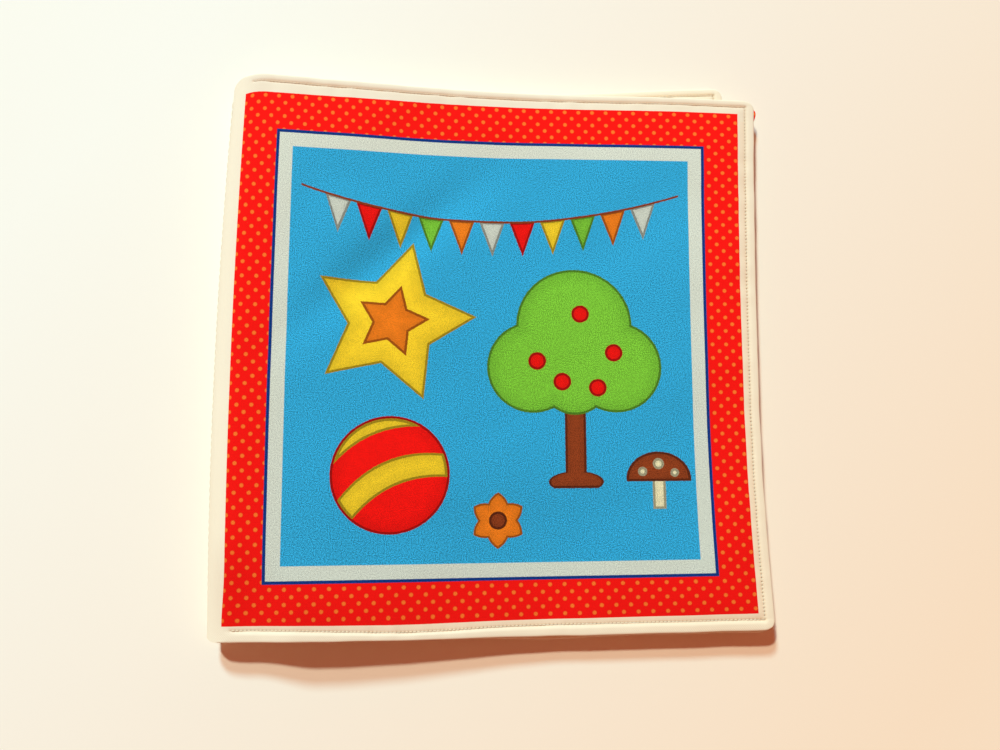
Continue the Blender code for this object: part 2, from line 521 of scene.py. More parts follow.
    def flags(self, x: Value, y: Value, motif: Motif) -> Forms:
        """A row of eleven small three-cornered flags on a sagging string.

        Args:
            x: Millimetres across from the motif's middle.
            y: Millimetres up from it.
            motif: Its size and inks.

        Yields:
            Its forms, from the back to the front.
        """
        wide = motif.size
        string = y - x * x * self.STRING_SAG
        cell = x / wide + 0.5
        across = abs(cell.fraction() - 0.5) * wide
        form = (across - string * self.FLAG_SLANT - 0.42 * wide).high(string).high(abs(x) - 5.5 * wide)
        index = (cell.floor() * 0.2 + 0.05).fraction()
        colour: Ink = INKS.pale
        for step, other in enumerate((INKS.red, INKS.yellow, INKS.green, INKS.orange), 1):
            colour = self.kit.mix(self.kit.math("GREATER_THAN", index, step * 0.2), colour, other)
        yield Form(form, colour)
        yield Form((abs(string) - self.STRING_HALF).high(abs(x) - 6.2 * wide), INKS.brown, False)


@dataclass(frozen=True)
class Bump:
    """A smooth bump with its middle, its reach along and across in millimetres, and its turn in degrees."""

    x: float
    y: float
    reach_x: float
    reach_y: float
    move: Tuple[float, ...]
    turn: float = 0.0

    def weight(self, x: Array, y: Array) -> Array:
        """How much of the move a place takes, given in millimetres.

        Args:
            x: Millimetres across.
            y: Millimetres up.

        Returns:
            The share at each place.
        """
        x, y = x - self.x, y - self.y
        cosine, sine = math.cos(math.radians(self.turn)), math.sin(math.radians(self.turn))
        return bell((x * cosine + y * sine) / self.reach_x) * bell((y * cosine - x * sine) / self.reach_y)


@dataclass(frozen=True)
class PrintedPage:
    """The cotton of one page: its inks, its motifs, and the sizes of its print in millimetres."""

    number: int
    border: Colour
    dot: Colour
    line: Colour
    band: Colour
    ground: Colour
    motifs: Tuple[Motif, ...]
    half_width: float = 98.0
    shift: float = 0.0
    skews: Tuple[Bump, ...] = ()
    half_height: float = 104.46
    line_in_side: float = 14.27
    line_in_end: float = 15.24
    line_width: float = 1.25
    band_width: float = 6.76
    dot_pitch: float = 2.814
    dot_radius: float = 0.77
    dot_in_side: float = 1.0
    dot_in_end: float = 1.4
    thread_pitch: float = 0.42

    @property
    def slot(self) -> str:
        """The material slot in the record."""
        return f"page_{self.number}_cotton"

    def weave(self, kit: ShaderKit, along: Value, up: Value, on_cloth: Value) -> Value:
        """The height of the plain weave, from about 0 to 1, with thicker and thinner threads.

        Args:
            kit: The material that is made.
            along: Millimetres along the cloth.
            up: Millimetres up the cloth.
            on_cloth: Both as a vector.

        Returns:
            The height.
        """
        slub_x = kit.noise(kit.vector(along * 2.2, up * 0.12), 1.0, 1.0)
        slub_y = kit.noise(kit.vector(along * 0.12, up * 2.2, 7.0), 1.0, 1.0)
        turn = math.pi / self.thread_pitch
        over = (along * turn + slub_x * 2.0).sine() * (up * turn + slub_y * 2.0).sine()
        fuzz = kit.noise(on_cloth, 5.5, 2.0, 0.7)
        return 0.30 + 0.24 * over + 0.22 * (slub_x + slub_y) + 0.22 * fuzz

    def outside(self, printer: MotifPrinter, cut_side: float = 0.0, cut_end: float = 0.0) -> Value:
        """The distance outside the border's rectangle, cut in by so much at its sides and its ends."""
        side = abs(printer.x) - (self.half_width - cut_side)
        return side.high(abs(printer.y) - (self.half_height - cut_end))

    def dotted(self, kit: ShaderKit, printer: MotifPrinter) -> Value:
        """The border's ink with its dots, in two crossing sets of rows, each dot in a thin dark ring.

        Args:
            kit: The material that is made.
            printer: What prints on the page, and holds the place on it.

        Returns:
            The colour of the border.
        """
        from_side = (self.half_width - self.dot_in_side - printer.x) / (2 * self.dot_pitch)
        from_end = (self.half_height - self.dot_in_end - printer.y) / (2 * self.dot_pitch)
        cell_a = (from_side + from_end).fraction() - 0.5
        cell_b = (from_side - from_end).fraction() - 0.5
        reach = kit.length(cell_a, cell_b) * (self.dot_pitch * math.sqrt(2))
        reach = reach + printer.ragged * 0.6 - self.dot_radius
        ring = (0.5 - (reach - 0.22) / 0.30).kept() * 0.35
        border = kit.mix(ring, self.border, kit.scaled(self.border, 0.55))
        return kit.mix((0.5 - reach / 0.40).kept(), border, self.dot)

    def frame_colour(self, kit: ShaderKit, printer: MotifPrinter) -> Value:
        """The bare margin, the dotted border, the thin line, the band and the field.

        Args:
            kit: The material that is made.
            printer: What prints on the page, and holds the place on it.

        Returns:
            The colour that the motifs are printed on.
        """
        wander = printer.ragged * 0.35
        bordered = printer.inside(self.outside(printer) + wander)
        colour = kit.mix(bordered, INKS.cotton, self.dotted(kit, printer))
        for cut, inner in ((0.0, self.line), (self.line_width, self.band), (self.band_width, self.ground)):
            form = self.outside(printer, self.line_in_side + cut, self.line_in_end + cut)
            colour = kit.mix(printer.inside(form + wander), colour, inner)
        return colour

    def material(self) -> Material:
        """The printed cotton as a material on the page's own map, in millimetres.

        Returns:
            The material.
        """
        kit = ShaderKit(self.slot)
        place, on_cloth = kit.on_map(PAGE_MAP), kit.on_map(CLOTH_MAP)
        along, up = kit.split(on_cloth)
        printer = MotifPrinter(kit, *kit.split(place), place)
        colour = self.frame_colour(kit, printer)
        for motif in self.motifs:
            colour = printer.print_motif(colour, motif)
        weave = self.weave(kit, along, up, on_cloth)
        redness = kit.node("SeparateColor", "Red", {"Color": colour})
        dark_ink = 0.25 + (0.75 - 1.7 * redness).kept()
        in_line = printer.inside(self.outside(printer, self.line_in_side, self.line_in_end))
        speckle = (kit.noise(on_cloth, 2.4, 2.0, 0.9) - 0.5) * (0.9 + 6.0 * dark_ink * in_line)
        cloud = kit.noise(on_cloth, 0.035, 2.0)
        printed = printer.inside(self.outside(printer))
        # Painted light: the inks are a little brighter toward the head of the print and darker toward the
        # foot.
        inked = (0.86 + 0.22 * weave + speckle + 0.08 * cloud + 0.0009 * printer.y).low(1.5).high(0.35)
        bare = 0.94 + 0.08 * weave
        hole, seam_shade = self.sewn_marks(kit, along, up)
        # Painted light: the bare cotton is tinted warmer toward the fore edge and the foot.
        painted_warm_light = (0.25 + along * 0.0034 - up * 0.0026).kept() * (1 - printed)
        colour = kit.scaled(kit.mix(painted_warm_light, colour, INKS.painted_warm_light), bare + (inked - bare) * printed)
        # Painted shade: the stitched line is tinted a darker peach.
        colour = kit.mix(seam_shade * 0.20, colour, INKS.seam_shade)
        # Painted shade: the dip beside each seam is tinted a warmer, darker peach.
        colour = kit.mix(self.dip(along, up) * (1 - printed) * 0.17, colour, INKS.dip_shade)
        return kit.finish(
            # Painted shade: each needle hole is darkened brown.
            kit.mix(hole * 0.58, colour, INKS.hole),
            0.82 + 0.14 * weave,
            Normal=kit.bump(weave - hole * 0.8, 0.00010),
            Sheen_Weight=0.03,
            Sheen_Roughness=0.5,
            Specular_IOR_Level=0.12,
        )

    def sewn_marks(self, kit: ShaderKit, along: Value, up: Value) -> Tuple[Value, Value]:
        """The needle holes, and the line that the topstitch presses, as masks of painted shade; the holes
        also dent the bump.

        Args:
            kit: The material that is made.
            along: Millimetres from the crease, in stitches of the sheet's own length.
            up: Millimetres from the foot.

        Returns:
            The mask of the holes and that of the line, both for painted shade.
        """
        height, foot, head = BOOK.page_height / MM, BOOK.foot_inset / MM, BOOK.head_inset / MM
        pitch, past = BOOK.stitch / MM, 0.3
        last = BOOK.stitches_across * pitch
        from_end = abs(up - foot).low(abs(height - up - head)).high(along - last - past)
        from_end = from_end.high(BOOK.first_stitch * pitch - past - along)
        from_fore = abs(along - last).high(foot - past - up).high(up - height + head - past)

        def to_hole(run: Value) -> Value:
            """The distance along a seam from the nearest hole."""
            return abs((run / pitch + 0.5).fraction() - 0.5) * pitch

        reach = kit.length(to_hole(along), from_end).low(kit.length(to_hole(up), from_fore))
        below_head = (height - 2 * head - up).kept()
        uneven = kit.noise(kit.vector(along, up), 0.30, 1.0, 0.5, 9.0) * (0.6 + 0.4 * below_head)
        # Each hole's mask, which darkens it as painted shade and dents the bump.
        hole = (0.5 - (reach - 0.11 - 0.18 * uneven) / 0.18).kept()
        # The band of painted shade along each stitched line.
        seam_shade = (1 - from_end.low(from_fore) / 0.7).kept()
        return hole * (0.5 + uneven).kept() * (0.4 + 0.6 * below_head), seam_shade

    def dip(self, along: Value, up: Value) -> Value:
        """The mask of the painted shade in the dip inside the seam at the foot and the fore edge, and outside
        it at the head.

        Args:
            along: Millimetres from the crease, in stitches of the sheet's own length.
            up: Millimetres from the foot.

        Returns:
            The mask.
        """
        foot, fore = BOOK.foot_inset / MM, BOOK.stitches_across * BOOK.stitch / MM
        past_head = up - (BOOK.page_height - BOOK.head_inset) / MM
        low = (1 - abs((up - foot).low(fore - along) - 1.1) / 1.9).kept() * (-6 - past_head).kept()
        high = (1 - abs(past_head - 0.6) / 1.2).kept() * (fore - along).kept()
        return low.high(high) * ((along - 14) * 0.1).kept()


def page_prints() -> List[PrintedPage]:
    """The eight pages' prints, each a few plain shapes in a dotted border.

    Returns:
        The prints, in the order of the pages.
    """
    c = INKS
    red_frame = (c.red, c.dot, c.navy, c.pale, c.blue)
    yellow_frame = (c.yellow, c.cream, c.red, c.cream, c.sky)
    garden_frame = (c.red, c.dot, c.navy, c.pale, c.yellow)
    green_frame = (c.deep_green, c.green, c.yellow, c.cream, c.pale)
    blue_frame = (c.blue, c.sky, c.yellow, c.pale, c.navy)
    sky_frame = (c.blue, c.sky, c.red, c.pale, c.sky)
    cover = (
        Motif(Shape.FLAGS, 0, 55, 12.4, c.red),
        Motif(Shape.STAR, -40, 13, 31, c.yellow, c.orange, -14),
        Motif(Shape.TREE, 33, -4, 42, c.green, c.red),
        Motif(Shape.BALL, -40, -48, 23, c.red, c.yellow, 24),
        Motif(Shape.MUSHROOM, 66, -50, 13, c.brown),
        Motif(Shape.FLOWER, 2, -66, 11, c.orange, c.brown),
    )
    play = (
        Motif(Shape.BALL, -30, 24, 27, c.red, c.blue, -18),
        Motif(Shape.STAR, 40, -26, 25, c.blue, c.cream, 10),
        Motif(Shape.HEART, 44, 44, 12, c.orange),
    )
    garden = (
        Motif(Shape.FLOWER, -36, 26, 25, c.red, c.yellow),
        Motif(Shape.FLOWER, 34, 40, 15, c.orange, c.brown),
        Motif(Shape.MUSHROOM, 20, -36, 28, c.brown),
    )
    wood = (
        Motif(Shape.TREE, -30, 6, 40, c.deep_green, c.yellow),
        Motif(Shape.MUSHROOM, 42, -38, 20, c.red),
        Motif(Shape.STAR, 44, 38, 14, c.yellow, c.orange),
    )
    meadow = (
        Motif(Shape.KITE, 22, 22, 32, c.red, c.yellow, -20),
        Motif(Shape.FLOWER, -42, -40, 18, c.yellow, c.brown),
        Motif(Shape.HEART, -44, 40, 13, c.red),
    )
    night = (
        Motif(Shape.MOON, -20, 16, 34, c.yellow),
        Motif(Shape.STAR, 44, 42, 13, c.cream, c.orange),
        Motif(Shape.STAR, 34, -38, 20, c.orange, c.yellow, 16),
    )
    sky = (
        Motif(Shape.KITE, -30, 24, 28, c.orange, c.green, 18),
        Motif(Shape.BALL, 40, -30, 22, c.yellow, c.red, -12),
        Motif(Shape.HEART, 46, 42, 12, c.red),
    )
    back = (
        Motif(Shape.STAR, 0, 8, 34, c.yellow, c.orange),
        Motif(Shape.FLOWER, -46, -48, 13, c.orange, c.brown),
        Motif(Shape.FLOWER, 46, -48, 13, c.green, c.yellow),
    )
    cover_skews = (Bump(-102, 104, 48, 9, (0.0, -0.5)), Bump(-102, -106, 10, 15, (-1.4, 0.0)))
    return [
        PrintedPage(1, *red_frame, cover, 101.95, skews=cover_skews),
        PrintedPage(2, *yellow_frame, play),
        PrintedPage(3, *garden_frame, garden, 101.95, 6.0, (Bump(104, 110, 30, 26, (1.0, 7.0)),)),
        PrintedPage(4, *green_frame, wood),
        PrintedPage(5, *green_frame, meadow),
        PrintedPage(6, *blue_frame, night),
        PrintedPage(7, *sky_frame, sky),
        PrintedPage(8, *red_frame, back),
    ]


@dataclass(frozen=True)
class ThreadFinish:
    """Ivory sewing thread with its twist, which follows each stitch's own map."""

    colour: Colour = ink("FBF1DA")
    shade: Colour = ink("E3CFAE")

    def material(self) -> Material:
        """The thread as a material.

        Returns:
            The material.
        """
        kit = ShaderKit("sewing_thread")
        x, y = kit.split(kit.on_map(PAGE_MAP))
        twist = ((x * 5.0 + y * 2.0) * math.tau).sine() * 0.5 + 0.5
        hair = kit.noise(kit.in_object(), 9000.0, 2.0)
        colour = kit.mix(0.35 * hair + 0.55 * twist, self.shade, self.colour)
        normal = kit.bump(0.75 * twist + 0.25 * hair, 0.00004)
        return kit.finish(colour, 0.52 + 0.2 * hair, Normal=normal, Sheen_Weight=0.15)


@dataclass(frozen=True)
class BattingFinish:
    """White polyester batting with loose fibres."""

    colour: Colour = ink("F4F2EC")
    shade: Colour = ink("D6D3CA")

    def material(self) -> Material:
        """The batting as a material.

        Returns:
            The material.
        """
        kit = ShaderKit("polyester_batting")
        spot = kit.in_object()
        depth = 0.6 * kit.noise(spot, 260.0, 6.0, 0.7) + 0.4 * kit.noise(spot, 2400.0, 4.0, 0.8)
        colour = kit.mix((depth * 1.6 - 0.3).kept(), self.shade, self.colour)
        return kit.finish(colour, 0.95, Normal=kit.bump(depth, 0.0006), Sheen_Weight=0.3)


@dataclass(frozen=True)
class BookSizes:
    """The sizes that the solids are drawn to, in metres."""

    page_width: float = 0.218
    page_height: float = 0.222
    corner_radius: float = 0.0045
    spine_height: float = 0.017
    curl_end: float = 0.01285
    slope_start: float = 0.024
    slope_end: float = 0.145
    cloth: float = 0.00035
    crown: float = 0.0023
    welt: float = 0.0022
    stitched: float = 0.0010
    channel: float = 0.0012
    head_channel: float = 0.0018
    rim: float = 0.0002
    pitch: float = 0.0026
    stitch: float = 0.0015
    fore_inset: float = 0.00375
    foot_inset: float = 0.0045
    head_inset: float = 0.0030
    stitches_across: int = 145
    first_stitch: int = 9
    head_curl_round: Tuple[float, float] = (0.018, 0.0100)
    foot_curl_round: Tuple[float, float] = (0.0050, 0.0045)
    pinch_end: float = 0.038
    pinch_height: float = 0.042
    fold_reach: float = 0.00045

    @property
    def hinge_height(self) -> float:
        """The crease's height above the table."""
        return self.spine_height / 2

    @property
    def middle(self) -> Array:
        """The middle of the page on the table, from the crease's foot."""
        return np.array([self.page_width / 2, self.page_height / 2, 0.0])


BOOK = BookSizes()

# How far the whole book is pulled out of square, in millimetres toward the fore edge and toward the head,
# on a lattice of four points from crease to fore edge by four from foot to head
PULL_OUT = ((2.3, -1.6, -1.7, 1.1), (-1.0, 1.7, 0.2, -3.9), (0.2, 0.2, 0.3, -1.0), (2.9, -2.2, -0.1, 2.2))
PULL_UP = ((0.9, 0.1, -0.7, 6.8), (0.8, 0.0, -1.5, -1.9), (0.8, -0.9, -0.9, 2.3), (1.9, -2.0, -0.2, -1.3))


def lattice(points: Sequence[Sequence[float]], a: Array, b: Array) -> Array:
    """A smooth surface over a four by four lattice, at shares from 0 to 1 along its two sides.

    Args:
        points: The lattice's values, first along a and then along b.
        a: Shares along the first side.
        b: Shares along the second side.

    Returns:
        The value at each point.
    """

    def weights(t: Array) -> Array:
        """Four weights that add up to 1."""
        t = np.clip(t, 0.0, 1.0)
        return np.stack([(1 - t) ** 3, 3 * t * (1 - t) ** 2, 3 * t * t * (1 - t), t**3], -1)

    return np.einsum("ni,nj,ij->n", weights(a), weights(b), np.array(points))


def out_of_square(a: Array, b: Array) -> Array:
    """How far each point is pulled out of square, one row each, at shares along the page and up it."""
    return np.stack([lattice(PULL_OUT, a, b), lattice(PULL_UP, a, b), np.zeros(len(a))], 1) * MM


class Swell:
    """A gentle, seeded unevenness made of crossing waves."""

    def __init__(self, seed: int, shortest: float, longest: float, count: int) -> None:
        """Draws a number of waves, whose lengths are between two in metres.

        Args:
            seed: Fixes the draw.
            shortest: The shortest wave in metres.
            longest: The longest wave in metres.
            count: How many waves cross.
        """
        draw = np.random.default_rng(seed)
        lengths = np.exp(draw.uniform(math.log(shortest), math.log(longest), count))
        headings = draw.uniform(0, math.pi, count)
        self.waves = np.stack([np.cos(headings), np.sin(headings)]) * (math.tau / lengths)
        self.starts = draw.uniform(0, math.tau, count)
        self.parts = lengths / lengths.sum()

    def at(self, x: Array, y: Array) -> Array:
        """The unevenness from about -1 to 1 at each point."""
        phase = np.outer(x, self.waves[0]) + np.outer(y, self.waves[1]) + self.starts
        return np.sin(phase) @ self.parts * 2.2


BOOK_SWELL = Swell(5, 0.035, 0.13, 14)


def deselect_all() -> None:
    """Leaves nothing selected, so that an operator acts only on what comes next."""
    for obj in bpy.context.selected_objects:
        obj.select_set(False)


def make_active(obj: Object) -> None:
    """Selects one object alone and makes it the active one.

    Args:
        obj: The object.
    """
    deselect_all()
    obj.select_set(True)
    bpy.context.view_layer.objects.active = obj


def add_object(name: str, data: bpy.types.ID) -> Object:
    """Puts a mesh, a lamp or a camera in the scene.

    Args:
        name: The object's name.
        data: What it shows.

    Returns:
        The object.
    """
    obj = bpy.data.objects.new(name, data)
    bpy.context.scene.collection.objects.link(obj)
    return obj


def unit_sheet(cells: int) -> Object:
    """A flat sheet, 1 wide and 1 high, in even squares.

    Args:
        cells: How many squares it has each way.

    Returns:
        The sheet.
    """
    deselect_all()
    bpy.ops.mesh.primitive_grid_add(x_subdivisions=cells, y_subdivisions=cells, size=1.0)
    return bpy.context.object


def taken_mesh(obj: Object) -> Mesh:
    """The mesh of an object that is removed.

    Args:
        obj: The object.

    Returns:
        Its mesh.
    """
    mesh = obj.data
    bpy.data.objects.remove(obj)
    return mesh


def measured(parts: bpy.types.bpy_prop_collection, name: str) -> Array:
    """A vector of each vertex or face, one row each.

    Args:
        parts: The vertices or the faces.
        name: The vector's name.

    Returns:
        The vectors.
    """
    found = np.empty(len(parts) * 3)
    parts.foreach_get(name, found)
    return found.reshape(-1, 3)


def coordinates(mesh: Mesh) -> Array:
    """A mesh's vertices, one row each."""
    return measured(mesh.vertices, "co")


def set_coordinates(mesh: Mesh, points: Array) -> None:
    """Moves a mesh's vertices."""
    mesh.vertices.foreach_set("co", points.astype(np.float32).ravel())
    mesh.update()


def set_map(mesh: Mesh, places: Array, name: str = PAGE_MAP) -> None:
    """Gives each corner of a mesh the map place of its vertex.

    Args:
        mesh: The mesh.
        places: One row for each vertex.
        name: The map's name.
    """
    layer = mesh.uv_layers.get(name) or mesh.uv_layers.new(name=name)
    vertices = np.empty(len(mesh.loops), dtype=np.int32)
    mesh.loops.foreach_get("vertex_index", vertices)
    layer.data.foreach_set("uv", places[vertices].astype(np.float32).ravel())


def subdivide(parts: bpy.types.bpy_prop_collection, kind: str, chosen: Array, cuts: int) -> None:
    """Cuts the chosen faces or edges of the active object in even parts.

    Args:
        parts: The faces or the edges of its mesh.
        kind: Which of the two they are, FACE or EDGE.
        chosen: True for each that is cut.
        cuts: How many cuts each takes.
    """
    bpy.ops.object.mode_set(mode="EDIT")
    bpy.ops.mesh.select_mode(type=kind)
    bpy.ops.mesh.select_all(action="DESELECT")
    bpy.ops.object.mode_set(mode="OBJECT")
    parts.foreach_set("select", chosen)
    bpy.ops.object.mode_set(mode="EDIT")
    bpy.ops.mesh.subdivide(number_cuts=cuts)
    bpy.ops.object.mode_set(mode="OBJECT")


def apply_solidify(obj: Object, thickness: float, offset: float) -> None:
    """Gives a sheet its thickness and closes its rim.

    Args:
        obj: The sheet.
        thickness: Its thickness in metres.
        offset: -1 where the thickness goes to the inner side, 0 where it goes to both.
    """
    make_active(obj)
    modifier = obj.modifiers.new("thickness", "SOLIDIFY")
    modifier.thickness, modifier.offset = thickness, offset
    bpy.ops.object.modifier_apply(modifier=modifier.name)


def smooth(obj: Object, degrees: float) -> None:
    """Shades an object smooth, but for its sharp edges."""
    make_active(obj)
    bpy.ops.object.shade_smooth_by_angle(angle=math.radians(degrees))


def shaped_sheet(
    mesh: Mesh,
    name: str,
    points: Array,
    material: Material,
    thickness: float,
    offset: float,
    flipped: bool = False,
) -> Object:
    """Makes a piece of a flat sheet.

    Args:
        mesh: The flat sheet, with its maps.
        name: The piece's name.
        points: Where its vertices go.
        material: What it is made of.
        thickness: Its thickness in metres.
        offset: -1 where the thickness goes to the sheet's inner side, 0 where it goes to both.
        flipped: Turns the sheet's faces over.

    Returns:
        The piece.
    """
    mesh.name = name
    set_coordinates(mesh, points)
    mesh.materials.append(material)
    obj = add_object(name, mesh)
    if flipped:
        mesh.flip_normals()
    apply_solidify(obj, thickness, offset)
    smooth(obj, 62.0)
    return obj


def dress(obj: Object, body: str, node: str, slot: str) -> None:
    """Says which body a piece rides on and which solid it stands in for.

    Args:
        obj: The piece.
        body: The body.
        node: The solid.
        slot: Not used.
    """
    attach(obj, body)
    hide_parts(node)


class StuffedRelief:
    """How a stuffed leaf settles: its two cloths simulated as a pillow that is held at its stitching."""

    CELLS = 104
    SCALE = 10.0
    FRAMES = 20
    SHARE = 0.16
    CAP = 0.00045
    INNER_CAP = 0.00012
    HELD_WITHIN = 1.25
    SETTINGS = {
        "vertex_group_mass": "held",
        "use_pressure": True,
        "uniform_pressure_force": 0.3,
        "shrink_min": -0.010,
        "quality": 6,
        "mass": 0.2,
        "tension_stiffness": 30,
        "compression_stiffness": 30,
        "shear_stiffness": 5,
        "bending_stiffness": 150,
    }

    def __init__(self) -> None:
        """Settles the pillow once, for both of its faces."""
        self.faces = self.settled()
        self.waves = None

    def pillow(self) -> Tuple[Object, Array, Array]:
        """The pillow before it settles, its points, and how far inside the stitching they are.

        Returns:
            The pillow, its points and, for each, the share of an inset from the nearest edge.
        """
        obj = unit_sheet(self.CELLS)
        apply_solidify(obj, 0.01, 0.0)
        flat = coordinates(obj.data)
        along, up = (flat[:, 0] + 0.5) * BOOK.page_width, (flat[:, 1] + 0.5) * BOOK.page_height
        fore = (BOOK.page_width - along) / BOOK.fore_inset
        foot, head = up / BOOK.foot_inset, (BOOK.page_height - up) / BOOK.head_inset
        inside = np.minimum.reduce([fore, foot, head, along / 0.004])
        plump = BOOK.stitched + (BOOK.crown - BOOK.stitched) * eased(inside - 1)
        half = np.where(inside < 1, BOOK.stitched, plump) / 2
        points = np.stack([along, up, np.where(flat[:, 2] > 0, half, -half)], 1) * self.SCALE
        return obj, points, inside

    def settled(self) -> List[Array]:
        """Simulates the pillow and gives each face's rise as a square field.

        Returns:
            The outer face's rise and the inner face's, in metres.
        """
        obj, points, inside = self.pillow()
        draw = np.random.default_rng(3)
        begin = points.copy()
        begin[:, 2] += np.where(inside > 1.3, draw.normal(0, 0.0002, len(points)), 0)
        set_coordinates(obj.data, begin)
        group = obj.vertex_groups.new(name="held")
        for chosen, weight in ((inside < self.HELD_WITHIN, 1.0), (inside >= self.HELD_WITHIN, 0.12)):
            group.add(np.nonzero(chosen)[0].tolist(), weight, "REPLACE")
        cloth = obj.modifiers.new("cloth", "CLOTH")
        for name, setting in self.SETTINGS.items():
            setattr(cloth.settings, name, setting)
        cloth.settings.effector_weights.gravity = 0.0
        cloth.collision_settings.use_collision = False
        cloth.point_cache.frame_start, cloth.point_cache.frame_end = 1, self.FRAMES
        for step in range(1, self.FRAMES + 1):
            bpy.context.scene.frame_set(step)
        make_active(obj)
        bpy.ops.object.modifier_apply(modifier=cloth.name)
        rise = (coordinates(obj.data) - points)[:, 2] / self.SCALE
        fields = []
        for sign in (1, -1):
            chosen = points[:, 2] * sign > 0
            order = np.lexsort((points[chosen, 0].round(4), points[chosen, 1].round(4)))
            fields.append(sign * rise[chosen][order].reshape(self.CELLS + 1, self.CELLS + 1))
        bpy.data.objects.remove(obj)
        bpy.context.scene.frame_set(1)
        LOG.info("pillow settled, highest %.2f mm", max(rises.max() for rises in fields) / MM)
        return fields

    def at(self, a: Array, b: Array, leaf: int, side: int) -> Array:
        """The rise of one face at shares from 0 to 1 along and up it, in metres, held under a cap.

        Args:
            a: Shares from the crease to the fore edge.
            b: Shares from the foot to the head.
            leaf: The leaf's number, which picks how the field is laid on it.
            side: 1 for the outer face, -1 for the inner.

        Returns:
            The rise at each point.
        """
        if self.waves is not None:
            rise = self.waves.at(a * BOOK.page_width * side, b * BOOK.page_height + leaf) * 0.0002
            return rise * np.clip(np.minimum.reduce([1 - a, b, 1 - b]) * 30 - 0.6, 0, 1)
        rises = self.faces[0 if side > 0 else 1]
        place_a, place_b = a * self.CELLS, (1 - b if leaf % 2 else b) * self.CELLS
        total = np.zeros(len(a))
        for step_a in range(-1, 3):
            for step_b in range(-1, 3):
                near_a, near_b = np.floor(place_a) + step_a, np.floor(place_b) + step_b
                weight = self.soft(place_a - near_a) * self.soft(place_b - near_b)
                row, column = (np.clip(near, 0, self.CELLS).astype(int) for near in (near_b, near_a))
                total += weight * rises[row, column]
        cap = self.CAP if leaf == 3 and side > 0 else self.INNER_CAP
        return cap * np.tanh(total * self.SHARE / self.CAP)

    def soft(self, distance: Array) -> Array:
        """The weight of a field point that is some cells away, on a smooth curve.

        Args:
            distance: How many cells away it is.

        Returns:
            The weight.
        """
        size = np.abs(distance)
        near, far = 2 / 3 - size**2 + size**3 / 2, (2 - size) ** 3 / 6
        return np.where(size < 1, near, np.where(size < 2, far, 0.0))


class Side(Enum):
    """Which side of a leaf a cloth is on, seen from the fold."""

    OUTER = 1
    INNER = -1


